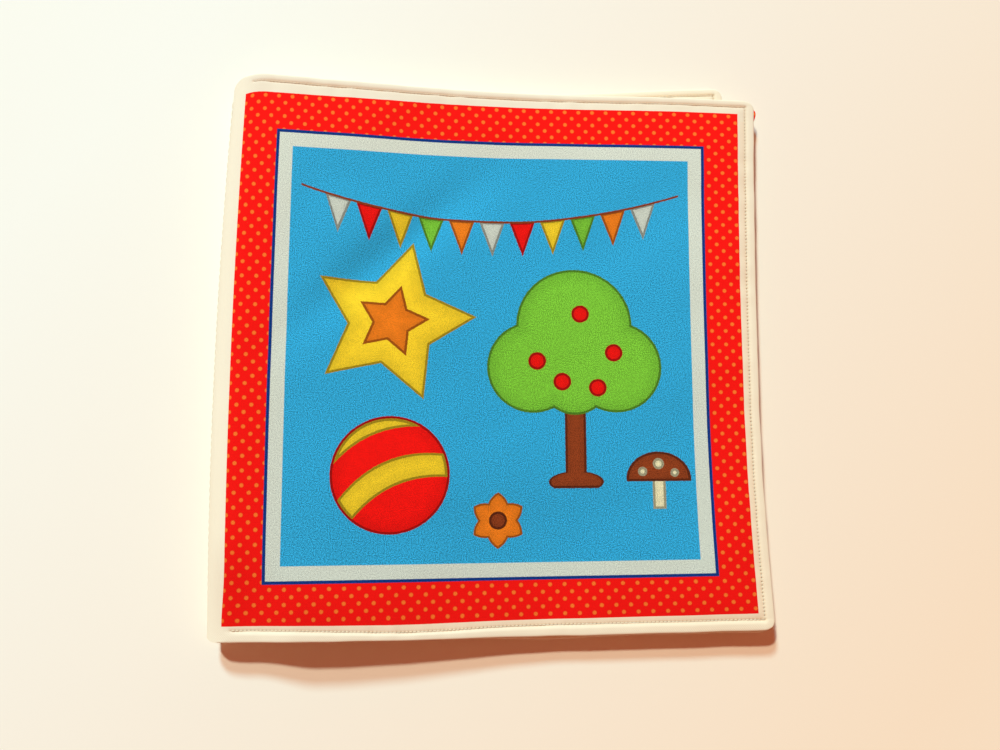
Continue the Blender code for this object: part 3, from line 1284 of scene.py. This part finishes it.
@dataclass
class Leaf:
    """One padded leaf of the book, which is one body, and everything that is sewn to it."""

    name: str
    side: int
    crease: float
    rise: float
    layer: int
    slip: float
    short: float
    front_page: int
    swell_share: float
    pull_share: float = 1.0
    pinch: float = 0.0
    nudges: Tuple[Bump, ...] = ()
    seam_sag: float = 0.0
    line: Dict[str, Array] = field(default_factory=dict)

    CURL_STEPS = 90
    SLOPE_STEPS = 420
    CREST = 0.44
    SHOULDER = 0.58
    SAG_PLACE = 0.079
    SAG_REACH = 0.033
    HOLE_DEPTH = 0.00026
    HOLE_REACH = 0.00034
    PRESS_DEPTH = 0.00012
    PRESS_REACH = 0.00030
    PUCKER_HEIGHT = 0.00013
    SWELL_HEIGHT = 0.00055
    WANDER_REACH = 0.006
    WANDER_UP = 0.00014
    WANDER_OUT = 0.00018

    def __post_init__(self) -> None:
        """Works out the middle line from the crease to the fore edge."""
        reach = BOOK.curl_end - self.crease
        angle = np.linspace(0.0, math.pi / 2, self.CURL_STEPS)
        flat_x = np.linspace(BOOK.curl_end, BOOK.page_width - self.short, self.SLOPE_STEPS)[1:]
        run = BOOK.slope_end - BOOK.slope_start
        share = np.clip((flat_x - BOOK.slope_start) / run, 0.0, 1.0)
        sprung = BOOK.hinge_height + self.side * self.rise
        settled = BOOK.crown / 2 + self.layer * BOOK.pitch
        steep = (settled - sprung) * math.pi * np.sin(math.pi * share) / (2 * run)
        x = np.append(self.crease + reach * (1 - np.cos(angle)), flat_x)
        curl_z = BOOK.hinge_height + self.side * self.rise * np.sin(angle)
        z = np.append(curl_z, sprung + (settled - sprung) * eased(share))
        out_x = np.append(-self.rise * np.cos(angle), -self.side * steep)
        out_z = np.append(self.side * reach * np.sin(angle), np.full(len(flat_x), float(self.side)))
        size = np.hypot(out_x, out_z)
        curl = np.append(angle / (math.pi / 2), np.ones(len(flat_x)))
        along = np.append(0.0, np.cumsum(np.hypot(np.diff(x), np.diff(z))))
        self.line = {"x": x, "z": z, "nx": out_x / size, "nz": out_z / size, "curl": curl, "along": along}

    @property
    def length(self) -> float:
        """The middle line's length from the crease to the fore edge."""
        return float(self.line["along"][-1])

    @property
    def stitch_run(self) -> float:
        """The length of one stitch along the foot and the head."""
        return (self.length - BOOK.fore_inset) / BOOK.stitches_across

    def read(self, name: str, along: Array) -> Array:
        """One measure of the middle line at distances along it."""
        return np.interp(along, self.line["along"], self.line[name])

    def surface_run(self, side: Side) -> Array:
        """The distance along one face of the leaf at each point of the middle line.

        Args:
            side: Which face it is.

        Returns:
            The distances.
        """
        half = self.curl_limit(self.line["curl"]) * side.value
        x = self.line["x"] + self.line["nx"] * half
        z = self.line["z"] + self.line["nz"] * half
        return np.append(0.0, np.cumsum(np.hypot(np.diff(x), np.diff(z))))

    def curl_limit(self, curl: Array) -> Array:
        """Half the leaf's thickness where only the curl limits it."""
        low, high = BOOK.cloth + 0.00001, BOOK.crown / 2
        return low + (high - low) * eased(curl)

    def half_thickness(self, along: Array, up: Array) -> Array:
        """Half the leaf's thickness: rim, plump welt, channel under the topstitch and padded middle.

        Args:
            along: Distances from the crease along the middle line.
            up: Distances from the foot.

        Returns:
            Half the thickness at each point.
        """
        fore, foot = (self.length - along) / BOOK.fore_inset, up / BOOK.foot_inset
        head = (BOOK.page_height - up) / BOOK.head_inset
        inside = np.sum(np.maximum(np.stack([fore, foot, head]), 1e-3) ** -7.0, axis=0) ** (-1 / 7.0)
        at_head = eased((fore - head + 1) / 3)
        channel = (BOOK.channel + (BOOK.head_channel - BOOK.channel) * at_head) / 2
        rim, welt, crown = BOOK.rim / 2, BOOK.welt / 2, BOOK.crown / 2
        to_rim = 1 - np.clip(inside / self.CREST, 0, 1)
        rising = rim + (welt - rim) * (1 - to_rim**2.5) ** (1 / 2.5)
        falling = channel + (welt - channel) * (1 - eased((inside - self.SHOULDER) / (1 - self.SHOULDER)))
        beyond = channel + (crown - channel) * (1 - np.exp(-np.clip(inside - 1, 0, None) / 1.05))
        half = np.where(inside < self.CREST, rising, np.where(inside < 1, falling, beyond))
        flat = np.where(inside < self.CREST, rising, welt)
        sewn = eased((along - 0.007) / 0.014)
        return np.minimum(flat + (half - flat) * sewn, self.curl_limit(self.read("curl", along)))

    def edge_runs(self, along: Array, up: Array) -> List[Tuple[Array, Array, float]]:
        """For each sewn edge, the distance run along it, the distance in from its stitch line, and its pitch.

        Args:
            along: Distances from the crease along the middle line.
            up: Distances from the foot.

        Returns:
            These three for the foot, for the head and for the fore edge.
        """
        pitch, past, far = self.stitch_run, 0.0003, 1.0
        from_foot, from_head = up - BOOK.foot_inset, BOOK.page_height - up - BOOK.head_inset
        from_fore = self.length - along - BOOK.fore_inset
        within_y = (from_foot > -past) & (from_head > -past)
        within_x = (from_fore > -past) & (along > (BOOK.first_stitch - 0.3) * pitch)
        return [
            (along, np.where(within_x, from_foot, far), pitch),
            (along, np.where(within_x, from_head, far), pitch),
            (up, np.where(within_y, from_fore, far), BOOK.stitch),
        ]

    def sewn_relief(self, along: Array, up: Array, side: Side) -> Array:
        """How far the needle holes, the thread and the puckers push the cloth out, in metres.

        Args:
            along: Distances from the crease along the middle line.
            up: Distances from the foot.
            side: Which face it is.

        Returns:
            The push at each point.
        """
        relief = np.zeros(len(along))
        for index, (run, across, pitch) in enumerate(self.edge_runs(along, up)):
            to_hole = ((run / pitch + 0.5) % 1.0 - 0.5) * pitch
            ripple = Swell(self.layer * 7 + index * 3 + side.value + 11, 0.0035, 0.014, 9).at(run, 0 * run)
            fade = np.exp(-np.abs(across) / np.where(across > 0, 0.0045, 0.0022))
            relief -= self.HOLE_DEPTH * bell(np.hypot(to_hole, across), self.HOLE_REACH)
            relief -= self.PRESS_DEPTH * bell(across, self.PRESS_REACH)
            relief += self.PUCKER_HEIGHT * ripple * fade * (np.abs(across) < 0.5)
        return relief

    def place(self, along: Array, up: Array, offset: Array) -> Array:
        """Where points of the leaf lie.

        Args:
            along: Distances from the crease along the middle line.
            up: Distances from the foot.
            offset: Distances off the middle line, away from the fold.

        Returns:
            The points in the frame, one row each.
        """
        share_a, share_b = along / self.length, up / BOOK.page_height
        along, up = self.wandered(*self.rounded(*self.sagged(*self.rolled(along, up))))
        x, z, normal_x, normal_z = (self.read(name, along) for name in ("x", "z", "nx", "nz"))
        size = np.hypot(normal_x, normal_z)
        up = self.curl_rounded(x, up + self.slip * x / (BOOK.page_width - self.short))
        z = z - self.pinch * self.pinched(x, z, up)
        points = np.stack([x + normal_x / size * offset, up, z + normal_z / size * offset], 1)
        pull = 1 - (1 - self.pull_share) * eased(share_a)
        points += out_of_square(share_a, share_b) * pull[:, None]
        for nudge in self.nudges:
            points += np.outer(nudge.weight(x / MM, up / MM), np.array(nudge.move) * MM)
        settle = eased((x - 0.010) / 0.030) * self.swell_share
        points[:, 2] += BOOK_SWELL.at(points[:, 0], points[:, 1]) * self.SWELL_HEIGHT * settle
        points[:, 2] = np.maximum(points[:, 2], 0.0)
        return points - BOOK.middle

    def rolled(self, along: Array, up: Array) -> Tuple[Array, Array]:
        """Bunches the rows near each free rim, so that the welt turns round it.

        Args:
            along: Distances from the crease along the middle line.
            up: Distances from the foot.

        Returns:
            The new distances, along and up.
        """

        def roll(distance: Array, inset: float) -> Array:
            """A distance from a rim, drawn toward the rim.

            Args:
                distance: Distances from the rim.
                inset: How far in the rim's stitch line is.

            Returns:
                The new distances from the rim.
            """
            radius = self.CREST * inset
            share = np.clip(distance / radius, 0.0, 1.0)
            return np.where(distance < radius, radius * (1 - np.cos(np.pi / 2 * share)), distance)

        along = self.length - roll(self.length - along, BOOK.fore_inset)
        head = BOOK.page_height - roll(BOOK.page_height - up, BOOK.head_inset)
        return along, np.where(up < BOOK.page_height / 2, roll(up, BOOK.foot_inset), head)

    def sagged(self, along: Array, up: Array) -> Tuple[Array, Array]:
        """Lets the seam stray toward the foot over part of its length."""
        from_seam = (up - BOOK.foot_inset) / np.where(up > BOOK.foot_inset, 0.0020, 0.0034)
        return along, up - self.seam_sag * bell(along - self.SAG_PLACE, self.SAG_REACH) * bell(from_seam)

    def rounded(self, along: Array, up: Array) -> Tuple[Array, Array]:
        """Draws the free corners in to a quarter circle.

        Args:
            along: Distances from the crease along the middle line.
            up: Distances from the foot.

        Returns:
            The new distances, along and up.
        """
        radius, middle = BOOK.corner_radius, BOOK.page_height / 2
        past_x = (along - self.length + radius) / radius
        past_y = (np.abs(up - middle) - middle + radius) / radius
        corner = (past_x > 0) & (past_y > 0)
        past_x, past_y = np.where(corner, past_x, 0.0), np.where(corner, past_y, 0.0)
        along = along + past_x * (np.sqrt(1 - past_y**2 / 2) - 1) * radius
        return along, up + np.sign(up - middle) * past_y * (np.sqrt(1 - past_x**2 / 2) - 1) * radius

    def wandered(self, along: Array, up: Array) -> Tuple[Array, Array]:
        """Lets the free edges run a little in and out, as turned cloth does.

        Args:
            along: Distances from the crease along the middle line.
            up: Distances from the foot.

        Returns:
            The new distances, along and up.
        """
        gaps = (self.length - along, up, BOOK.page_height - up)
        near_fore, near_foot, near_head = (np.exp(-np.clip(gap, 0, None) / self.WANDER_REACH) for gap in gaps)
        fore, foot, head = (Swell(self.layer * 5 + k + 3, 0.006, 0.05, 14) for k in range(3))
        flat = np.zeros(len(along))
        out = near_fore * fore.at(up, flat) * self.WANDER_OUT
        rise = (near_head * head.at(along, flat) - near_foot * foot.at(along, flat)) * self.WANDER_UP
        return along + out, up + rise * eased((along - 0.012) / 0.02)

    def curl_rounded(self, x: Array, up: Array) -> Array:
        """Draws the two ends of the curl in to a round corner.

        Args:
            x: Distances from the crease, measured level.
            up: Distances from the foot.

        Returns:
            The new distances from the foot.
        """
        middle = BOOK.page_height / 2
        for (wide, deep), toward in ((BOOK.head_curl_round, 1), (BOOK.foot_curl_round, -1)):
            short = np.clip(1 - x / wide, 0.0, 1.0)
            drawn = deep * (1 - np.sqrt(1 - short**2))
            up = up - toward * drawn * eased(((up - middle) * toward - 0.6 * middle) / (0.4 * middle))
        return up

    def pinched(self, x: Array, z: Array, up: Array) -> Array:
        """How much of the pinch each point takes, at the foot end of the curl and past the fold.

        Args:
            x: Distances from the crease, measured level.
            z: Heights over the table.
            up: Distances from the foot.

        Returns:
            The share at each point.
        """
        low = 1 - eased((x - BOOK.curl_end) / (BOOK.pinch_end - BOOK.curl_end))
        past_fold = (np.abs(z - BOOK.hinge_height) - BOOK.fold_reach) / (self.rise - BOOK.fold_reach)
        return low * (1 - eased(up / BOOK.pinch_height)) * np.clip(past_fold, 0.0, 1.0)


class FlatCloth:
    """The flat sheets that the pages are made from, cut in squares that are small where they are sewn."""

    CELLS = 74
    BANDS = ((0.054, 0.11), (0.0365, 0.063), (0.0240, 0.0))

    def __init__(self) -> None:
        """Starts with no sheet made."""
        self.fine: Optional[Mesh] = None

    def page(self) -> Mesh:
        """A unit square sheet, fine along its three free sides and its crease.

        Returns:
            A copy of the sheet.
        """
        if self.fine is None:
            obj = unit_sheet(self.CELLS)
            for edge_band, crease_band in self.BANDS:
                middle = measured(obj.data.polygons, "center") + 0.5
                to_edge = np.minimum.reduce([1 - middle[:, 0], middle[:, 1], 1 - middle[:, 1]])
                subdivide(obj.data.polygons, "FACE", (to_edge < edge_band) | (middle[:, 0] < crease_band), 1)
            self.fine = taken_mesh(obj)
        return self.fine.copy()


class Stitch:
    """One stitch, modelled once and copied along each stitch line."""

    SIDES = 6
    CUTS = 4
    END_TAPER = 0.62
    INSET = 0.05

    def __init__(self) -> None:
        """Models the stitch: a capped rod along X from 0 to 1, with a radius of 1."""
        deselect_all()
        bpy.ops.mesh.primitive_cylinder_add(
            vertices=self.SIDES, radius=1.0, depth=1.0, location=(0.5, 0, 0), rotation=(0, math.pi / 2, 0)
        )
        obj = bpy.context.object
        bpy.ops.object.transform_apply(location=True, rotation=True, scale=True)
        mesh = obj.data
        ends = np.array([[mesh.vertices[v].co.x for v in edge.vertices] for edge in mesh.edges])
        subdivide(mesh.edges, "EDGE", np.abs(ends[:, 0] - ends[:, 1]) > 0.5, self.CUTS)
        self.points = coordinates(mesh)
        self.faces = [tuple(face.vertices) for face in mesh.polygons]
        bpy.data.objects.remove(obj)

    def run(
        self, name: str, points: Array, normals: Array, radius: float, rise: float, thread: Material
    ) -> Object:
        """Copies the stitch along a line.

        Args:
            name: The name of the piece.
            points: The holes, where one stitch goes in and the next comes out.
            normals: The way out of the cloth at each stitch.
            radius: The thread's radius.
            rise: How far the middle of a stitch stands over its ends.
            thread: The thread's material.

        Returns:
            The row of stitches as one piece.
        """
        starts, run = points[:-1], points[1:] - points[:-1]
        share = self.points[:, 0]
        belly = np.sin(np.pi * np.clip(share, 0, 1)) ** 0.6
        taper = self.END_TAPER + (1 - self.END_TAPER) * belly
        forward = run / np.linalg.norm(run, axis=1, keepdims=True)
        out = normals - forward * np.sum(normals * forward, axis=1, keepdims=True)
        out /= np.linalg.norm(out, axis=1, keepdims=True)
        across = np.cross(out, forward)
        placed = (
            starts[:, None, :]
            + run[:, None, :] * (self.INSET + (1 - 2 * self.INSET) * share)[None, :, None]
            + across[:, None, :] * (self.points[:, 1] * taper * radius)[None, :, None]
            + out[:, None, :] * (self.points[:, 2] * taper * radius + rise * belly)[None, :, None]
        ).reshape(-1, 3)
        count = len(self.points)
        faces = [tuple(v + k * count for v in face) for k in range(len(starts)) for face in self.faces]
        mesh = bpy.data.meshes.new(name)
        mesh.from_pydata(placed.tolist(), [], faces)
        mesh.materials.append(thread)
        around = np.arctan2(self.points[:, 2], self.points[:, 1]) / math.tau
        set_map(mesh, np.tile(np.stack([share, around], 1), (len(starts), 1)))
        obj = add_object(name, mesh)
        smooth(obj, 70.0)
        return obj


@dataclass
class Workshop:
    """What the leaves and the fold are made with."""

    cloth: FlatCloth = field(default_factory=FlatCloth)
    stitch: Stitch = field(default_factory=Stitch)
    relief: StuffedRelief = field(default_factory=StuffedRelief)
    pages: List[PrintedPage] = field(default_factory=page_prints)
    thread: Material = field(default_factory=lambda: ThreadFinish().material())
    batting: Material = field(default_factory=lambda: BattingFinish().material())


@dataclass
class LeafMaker:
    """Makes and dresses the pieces of one leaf."""

    leaf: Leaf
    shop: Workshop
    fore_margin: float = 6.44
    print_middle: float = 110.93
    print_turn: float = 0.004
    batting_thickness: float = 0.0009
    thread_radius: float = 0.00017
    thread_rise: float = 0.00016
    thread_sunk: float = 0.00010

    def panel(self, front: bool) -> None:
        """One panel of printed cotton, on the front or the back of the leaf.

        Args:
            front: True for the page that is on the front of the leaf.
        """
        leaf = self.leaf
        side = Side.OUTER if front == (leaf.side > 0) else Side.INNER
        page = self.shop.pages[leaf.front_page - 1 + (0 if front else 1)]
        mesh = self.shop.cloth.page()
        share_a, share_b = (coordinates(mesh) + 0.5)[:, :2].T
        along, up = share_a * leaf.length, share_b * BOOK.page_height
        settled = self.shop.relief.at(share_a, share_b, leaf.layer, side.value)
        half = leaf.half_thickness(along, up) + leaf.sewn_relief(along, up, side)
        half = np.maximum(half + settled * eased((along - 0.012) / 0.02), BOOK.rim / 2)
        set_map(mesh, self.print_places(along, up, side, page))
        set_map(mesh, np.stack([along / leaf.stitch_run * BOOK.stitch, up], 1) / MM, CLOTH_MAP)
        points = leaf.place(along, up, side.value * half)
        name = f"{leaf.name}_page_{page.number}_cloth"
        obj = shaped_sheet(mesh, name, points, page.material(), BOOK.cloth, -1.0, leaf.side * side.value < 0)
        dress(obj, leaf.name, f"{leaf.name}_{'front' if front else 'back'}_panel", page.slot)

    def print_places(self, along: Array, up: Array, side: Side, page: PrintedPage) -> Array:
        """Where each point of a panel falls on its print, in millimetres from the print's middle.

        Args:
            along: Distances from the crease along the middle line.
            up: Distances from the foot.
            side: Which face the panel is on.
            page: The page's print.

        Returns:
            The places, one row each.
        """
        run = self.leaf.surface_run(side) / MM
        middle = run[-1] - self.fore_margin - page.half_width + page.shift
        x, y = np.interp(along, self.leaf.line["along"], run) - middle, up / MM - self.print_middle
        x, y = x + self.print_turn * y, y - self.print_turn * x
        for skew in page.skews:
            weight = skew.weight(x, y)
            x, y = x - weight * skew.move[0], y - weight * skew.move[1]
        return np.stack([-x if page.number % 2 == 0 else x, y], 1)

    def padding(self) -> None:
        """The batting, a little uneven, caught inside the topstitch."""
        leaf, inside = self.leaf, 1.7
        mesh = taken_mesh(unit_sheet(56))
        share_a, share_b = (coordinates(mesh) + 0.5)[:, :2].T
        first, last = 0.012, leaf.length - inside * BOOK.fore_inset
        low, high = inside * BOOK.foot_inset, BOOK.page_height - inside * BOOK.head_inset
        along, up = first + share_a * (last - first), low + share_b * (high - low)
        lumps = Swell(31 + leaf.layer, 0.006, 0.02, 16).at(along, up) * 0.00008
        name = f"{leaf.name}_padding"
        points = leaf.place(along, up, lumps)
        obj = shaped_sheet(mesh, name, points, self.shop.batting, self.batting_thickness, 0.0)
        dress(obj, leaf.name, f"{leaf.name}_batting", "batting")

    def topstitch(self, side: Side) -> None:
        """The row of stitches on one face, along the foot, the fore edge and the head.

        Args:
            side: Which face it is.
        """
        leaf, top = self.leaf, BOOK.page_height - BOOK.head_inset
        columns = np.arange(BOOK.first_stitch, BOOK.stitches_across + 1) * leaf.stitch_run
        rows = np.arange(round(BOOK.foot_inset / BOOK.stitch), round(top / BOOK.stitch) + 1) * BOOK.stitch
        fore = np.full(len(rows), leaf.length - BOOK.fore_inset)
        along = np.concatenate([columns[:-1], fore, columns[-2::-1]])
        ends = [np.full(len(columns) - 1, end) for end in (BOOK.foot_inset, top)]
        up = np.concatenate([ends[0], rows, ends[1]])
        surface = leaf.half_thickness(along, up) - self.thread_sunk
        points = leaf.place(along, up, side.value * surface)
        normals = (leaf.place(along, up, side.value * (surface + MM)) - points)[:-1]
        name = f"{leaf.name}_topstitch_{'needle' if side is Side.OUTER else 'bobbin'}"
        obj = self.shop.stitch.run(
            f"{name}_stitches", points, normals, self.thread_radius, self.thread_rise, self.shop.thread
        )
        dress(obj, leaf.name, f"{name}_thread", "thread")

    def make(self) -> None:
        """Makes every piece of the leaf."""
        self.padding()
        for front in (True, False):
            self.panel(front)
        for side in Side:
            self.topstitch(side)
        LOG.info("%s: two panels, padding and two rows of topstitch", self.leaf.name)


@dataclass
class FoldMaker:
    """Makes what crosses the fold: its seam, and the cloth that runs over it from leaf to leaf."""

    leaves: List[Leaf]
    shop: Workshop
    cotton: Material
    strip_reach: float = 0.0012
    strip_start: float = 0.00002
    strip_thickness: float = 0.0002
    strip_proud: float = 0.00004
    strip_drop: float = 0.00014
    bare_place: Tuple[float, float] = (140.0, 110.0)
    seam_pitch: float = 0.003
    seam_radius: float = 0.0002
    seam_rise: float = 0.00012
    seam_end: float = 0.008
    seam_gap: float = 0.00003

    def seam_row(self, kind: str, x: float, outward: float) -> Object:
        """One face of the seam through the fold, as a row of long stitches.

        Args:
            kind: The thread, needle or bobbin.
            x: The row's distance from the crease's foot.
            outward: The sign of X on the way out of the cloth.

        Returns:
            The row as one piece.
        """
        count = int((BOOK.page_height - 2 * self.seam_end) / self.seam_pitch)
        up = self.seam_end + np.arange(count + 1) * self.seam_pitch
        share = up / BOOK.page_height
        points = np.stack([np.full(len(up), x), up, np.full(len(up), BOOK.hinge_height)], 1)
        points += out_of_square(share * 0, share) - BOOK.middle
        normals = np.tile([outward, 0.0, 0.0], (count, 1))
        name = f"spine_seam_{kind}"
        obj = self.shop.stitch.run(
            f"{name}_stitches", points, normals, self.seam_radius, self.seam_rise, self.shop.thread
        )
        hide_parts(f"{name}_thread")
        return obj

    def strip(self, kind: str, ends: Sequence[Tuple[Leaf, Side, float]]) -> Object:
        """A narrow cloth that runs on over the fold, from the face of one leaf to that of its neighbour.

        Args:
            kind: The piece's name, before the words fold and cloth.
            ends: The leaf, its face and how far the strip reaches along it, for the upper end and the lower.

        Returns:
            The strip, whose ends are tucked into the panels' faces.
        """
        mesh = taken_mesh(unit_sheet(80))
        flat = coordinates(mesh) + 0.5
        share, up = flat[:, 0] * 2 - 1, flat[:, 1] * BOOK.page_height
        points = np.zeros((len(flat), 3))
        for (leaf, side, far), chosen in zip(ends, (share >= 0, share < 0)):
            reach = np.abs(share[chosen])
            half = leaf.half_thickness(reach * far, up[chosen])
            half += self.strip_proud - self.strip_drop * eased((reach - 0.6) / 0.4)
            points[chosen] = leaf.place(reach * far, up[chosen], side.value * half)
        set_map(mesh, np.stack([share, up / MM], 1) - self.bare_place)
        set_map(mesh, np.stack([share * 4, up / MM], 1), CLOTH_MAP)
        flipped = ends[0][1] is Side.INNER
        name = f"{kind}_fold_cloth"
        obj = shaped_sheet(mesh, name, points, self.cotton, self.strip_thickness, -1.0, flipped)
        self.shop.pages[3].slot
        return obj

    def bend(self, obj: Object, start: float) -> None:
        """Bakes a piece's place into its mesh."""
        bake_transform(obj)

    def strips(self) -> Dict[int, Object]:
        """The cloth over each opening of the fold, by the page it carries on.

        Returns:
            The strips by the page's number.
        """
        back, third, second, front = self.leaves
        far, near = self.strip_reach, self.strip_start
        inner = self.strip("inner", ((second, Side.INNER, far), (third, Side.INNER, far)))
        outer = self.strip("outer", ((second, Side.OUTER, far), (third, Side.OUTER, far)))
        first = self.strip("first_opening", ((second, Side.OUTER, far), (front, Side.INNER, near)))
        last = self.strip("last_opening", ((back, Side.INNER, near), (third, Side.OUTER, far)))
        reach = BOOK.fold_reach * 0.9
        for obj in (inner, outer):
            self.bend(obj, reach)
        self.bend(first, self.seam_gap)
        self.bend(last, -reach)
        return {4: inner, 3: outer, 2: first, 7: last}

    def make(self) -> Dict[int, Object]:
        """Makes the seam's two faces and the strips, and gives each strip by the page it carries on.

        Returns:
            The strips by the page's number.
        """
        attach(self.seam_row("needle", 0.0004, -1.0), "back_cover")
        inner_seam = self.seam_row("bobbin", self.leaves[2].crease + 0.00060, 1.0)
        self.bend(inner_seam, 0.02)
        LOG.info("fold: two faces of the seam, and the cloth over each opening")
        return self.strips()


class ClothBook:
    """The whole book."""

    def __init__(self) -> None:
        """Lays out the four leaves as the solids have them, from the table up."""
        covers, leaves = (0.00085, 0.00735), (0.00215, 0.00395)
        lift = (Bump(218, 226, 62, 60, (1.2, 3.5, 0.0)),)
        peeks = (
            Bump(67, 152, 46, 9.2, (0.0, 0.0, -2.4), 42),
            Bump(132, 0, 17, 20, (0.0, -1.0, 0.0)),
            Bump(217, 222, 18, 7.5, (3.2, -0.4, 0.0)),
        )
        flare = (
            Bump(8, 0, 16, 26, (-0.5, -0.3, 0.0)),
            Bump(67, 152, 46, 8.6, (0.0, 0.0, -2.6), 42),
        )
        self.leaves = [
            Leaf("back_cover", -1, *covers, 0, 0.0084, 0.011, 7, 0.0, 0.35, 0.0, lift),
            Leaf("third_leaf", -1, *leaves, 1, 0.0044, 0.004, 5, 0.3, 0.60),
            Leaf("second_leaf", 1, *leaves, 2, 0.0028, 0.001, 3, 0.5, 0.85, 0.0035, peeks),
            Leaf("front_cover", 1, *covers, 3, 0.0035, 0.0, 1, 0.7, 1.0, 0.0042, flare, 0.0016),
        ]

    def make(self) -> None:
        """Makes every piece of the book."""
        shop = Workshop()
        for leaf in self.leaves:
            LeafMaker(leaf, shop).make()
        cotton = bpy.data.objects["second_leaf_page_4_cloth"].data.materials[0]
        strips = FoldMaker(self.leaves, shop, cotton).make()
        for leaf in self.leaves:
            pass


@dataclass
class Studio:
    """The table, the light and the camera, whose place is in millimetres from the crease's foot."""

    camera_place: Tuple[float, float, float] = (93.59, 41.9, 388.47)
    camera_look: Tuple[float, float, float] = (0.04957, 0.16296, -0.98539)
    camera_up: Tuple[float, float, float] = (-0.01448, 0.98661, 0.16243)
    lens: float = 34.56
    table_size: float = 4.0
    table_gap: float = 0.00002
    room_colour: Colour = (1.0, 0.29, 0.16)
    room_strength: float = 0.355
    backdrop_colour: Colour = (0.96, 0.87, 0.74)

    def camera(self) -> None:
        """Sets the camera at the photograph's place."""
        data = bpy.data.cameras.new("camera")
        data.sensor_width, data.lens = 36.0, self.lens
        data.clip_start, data.clip_end = 0.01, 20.0
        obj = add_object("camera", data)
        look = Vector(self.camera_look).normalized()
        right = look.cross(Vector(self.camera_up)).normalized()
        turned = Matrix((right, right.cross(look), -look)).transposed().to_4x4()
        obj.matrix_world = Matrix.Translation(Vector(self.camera_place) * MM - Vector(BOOK.middle)) @ turned
        bpy.context.scene.camera = obj

    def table(self) -> None:
        """A pale table top, whose colour carries painted light."""
        deselect_all()
        bpy.ops.mesh.primitive_plane_add(size=self.table_size, location=(0, 0, -self.table_gap))
        obj = bpy.context.object
        obj.name = "table_top"
        kit = ShaderKit("table_painted_light")
        x, y = kit.split(kit.in_object())
        # Painted light: the table turns from near white to a warmer, darker peach toward the right and the
        # front.
        light_falloff = (0.46 + x * 1.9 - y * 1.5).kept()
        obj.data.materials.append(kit.finish(kit.mix(light_falloff, ink("FFFEF2"), ink("FFE3C5")), 0.7))

    def sun(
        self, name: str, toward: Tuple[float, float, float], strength: float, soft: float, colour: Colour
    ) -> None:
        """One soft lamp, by the way its light goes.

        Args:
            name: The lamp's name.
            toward: The way its light goes.
            strength: Its strength.
            soft: How wide it looks, in degrees.
            colour: Its colour.
        """
        data = bpy.data.lights.new(name, "SUN")
        data.energy, data.angle, data.color = strength, math.radians(soft), colour
        obj = add_object(name, data)
        obj.rotation_mode = "QUATERNION"
        obj.rotation_quaternion = Vector(toward).to_track_quat("-Z", "Y")

    def room(self) -> None:
        """A warm room, in front of which the camera sees a pale backdrop."""
        world = bpy.data.worlds.new("room")
        bpy.context.scene.world = world
        world.use_nodes = True
        nodes, links = world.node_tree.nodes, world.node_tree.links
        room, backdrop = nodes["Background"], nodes.new("ShaderNodeBackground")
        room.inputs["Color"].default_value = (*self.room_colour, 1.0)
        room.inputs["Strength"].default_value = self.room_strength
        backdrop.inputs["Color"].default_value = (*self.backdrop_colour, 1.0)
        seen, mixed = nodes.new("ShaderNodeLightPath"), nodes.new("ShaderNodeMixShader")
        outputs = (seen.outputs["Is Camera Ray"], room.outputs[0], backdrop.outputs[0])
        for number, output in enumerate(outputs):
            links.new(output, mixed.inputs[number])
        links.new(mixed.outputs[0], nodes["World Output"].inputs["Surface"])

    def make(self) -> None:
        """Sets up the whole studio."""
        self.table()
        self.sun("key_lamp", (0.38, -0.72, -1.0), 1.80, 4.0, (0.929, 1.0, 0.85))
        self.sun("second_lamp", (0.38, -1.12, -1.0), 2.449, 8.0, (0.357, 0.803, 1.0))
        self.room()
        self.camera()
        bpy.context.scene.view_settings.view_transform = "Standard"
        LOG.info("studio: table, two lamps, room and camera")


def main() -> None:
    """Builds the book and its studio."""
    logging.basicConfig(level=logging.INFO, format="%(name)s: %(message)s")
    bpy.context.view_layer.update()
    Studio().make()
    ClothBook().make()
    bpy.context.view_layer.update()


if __name__ == "__main__":
    main()
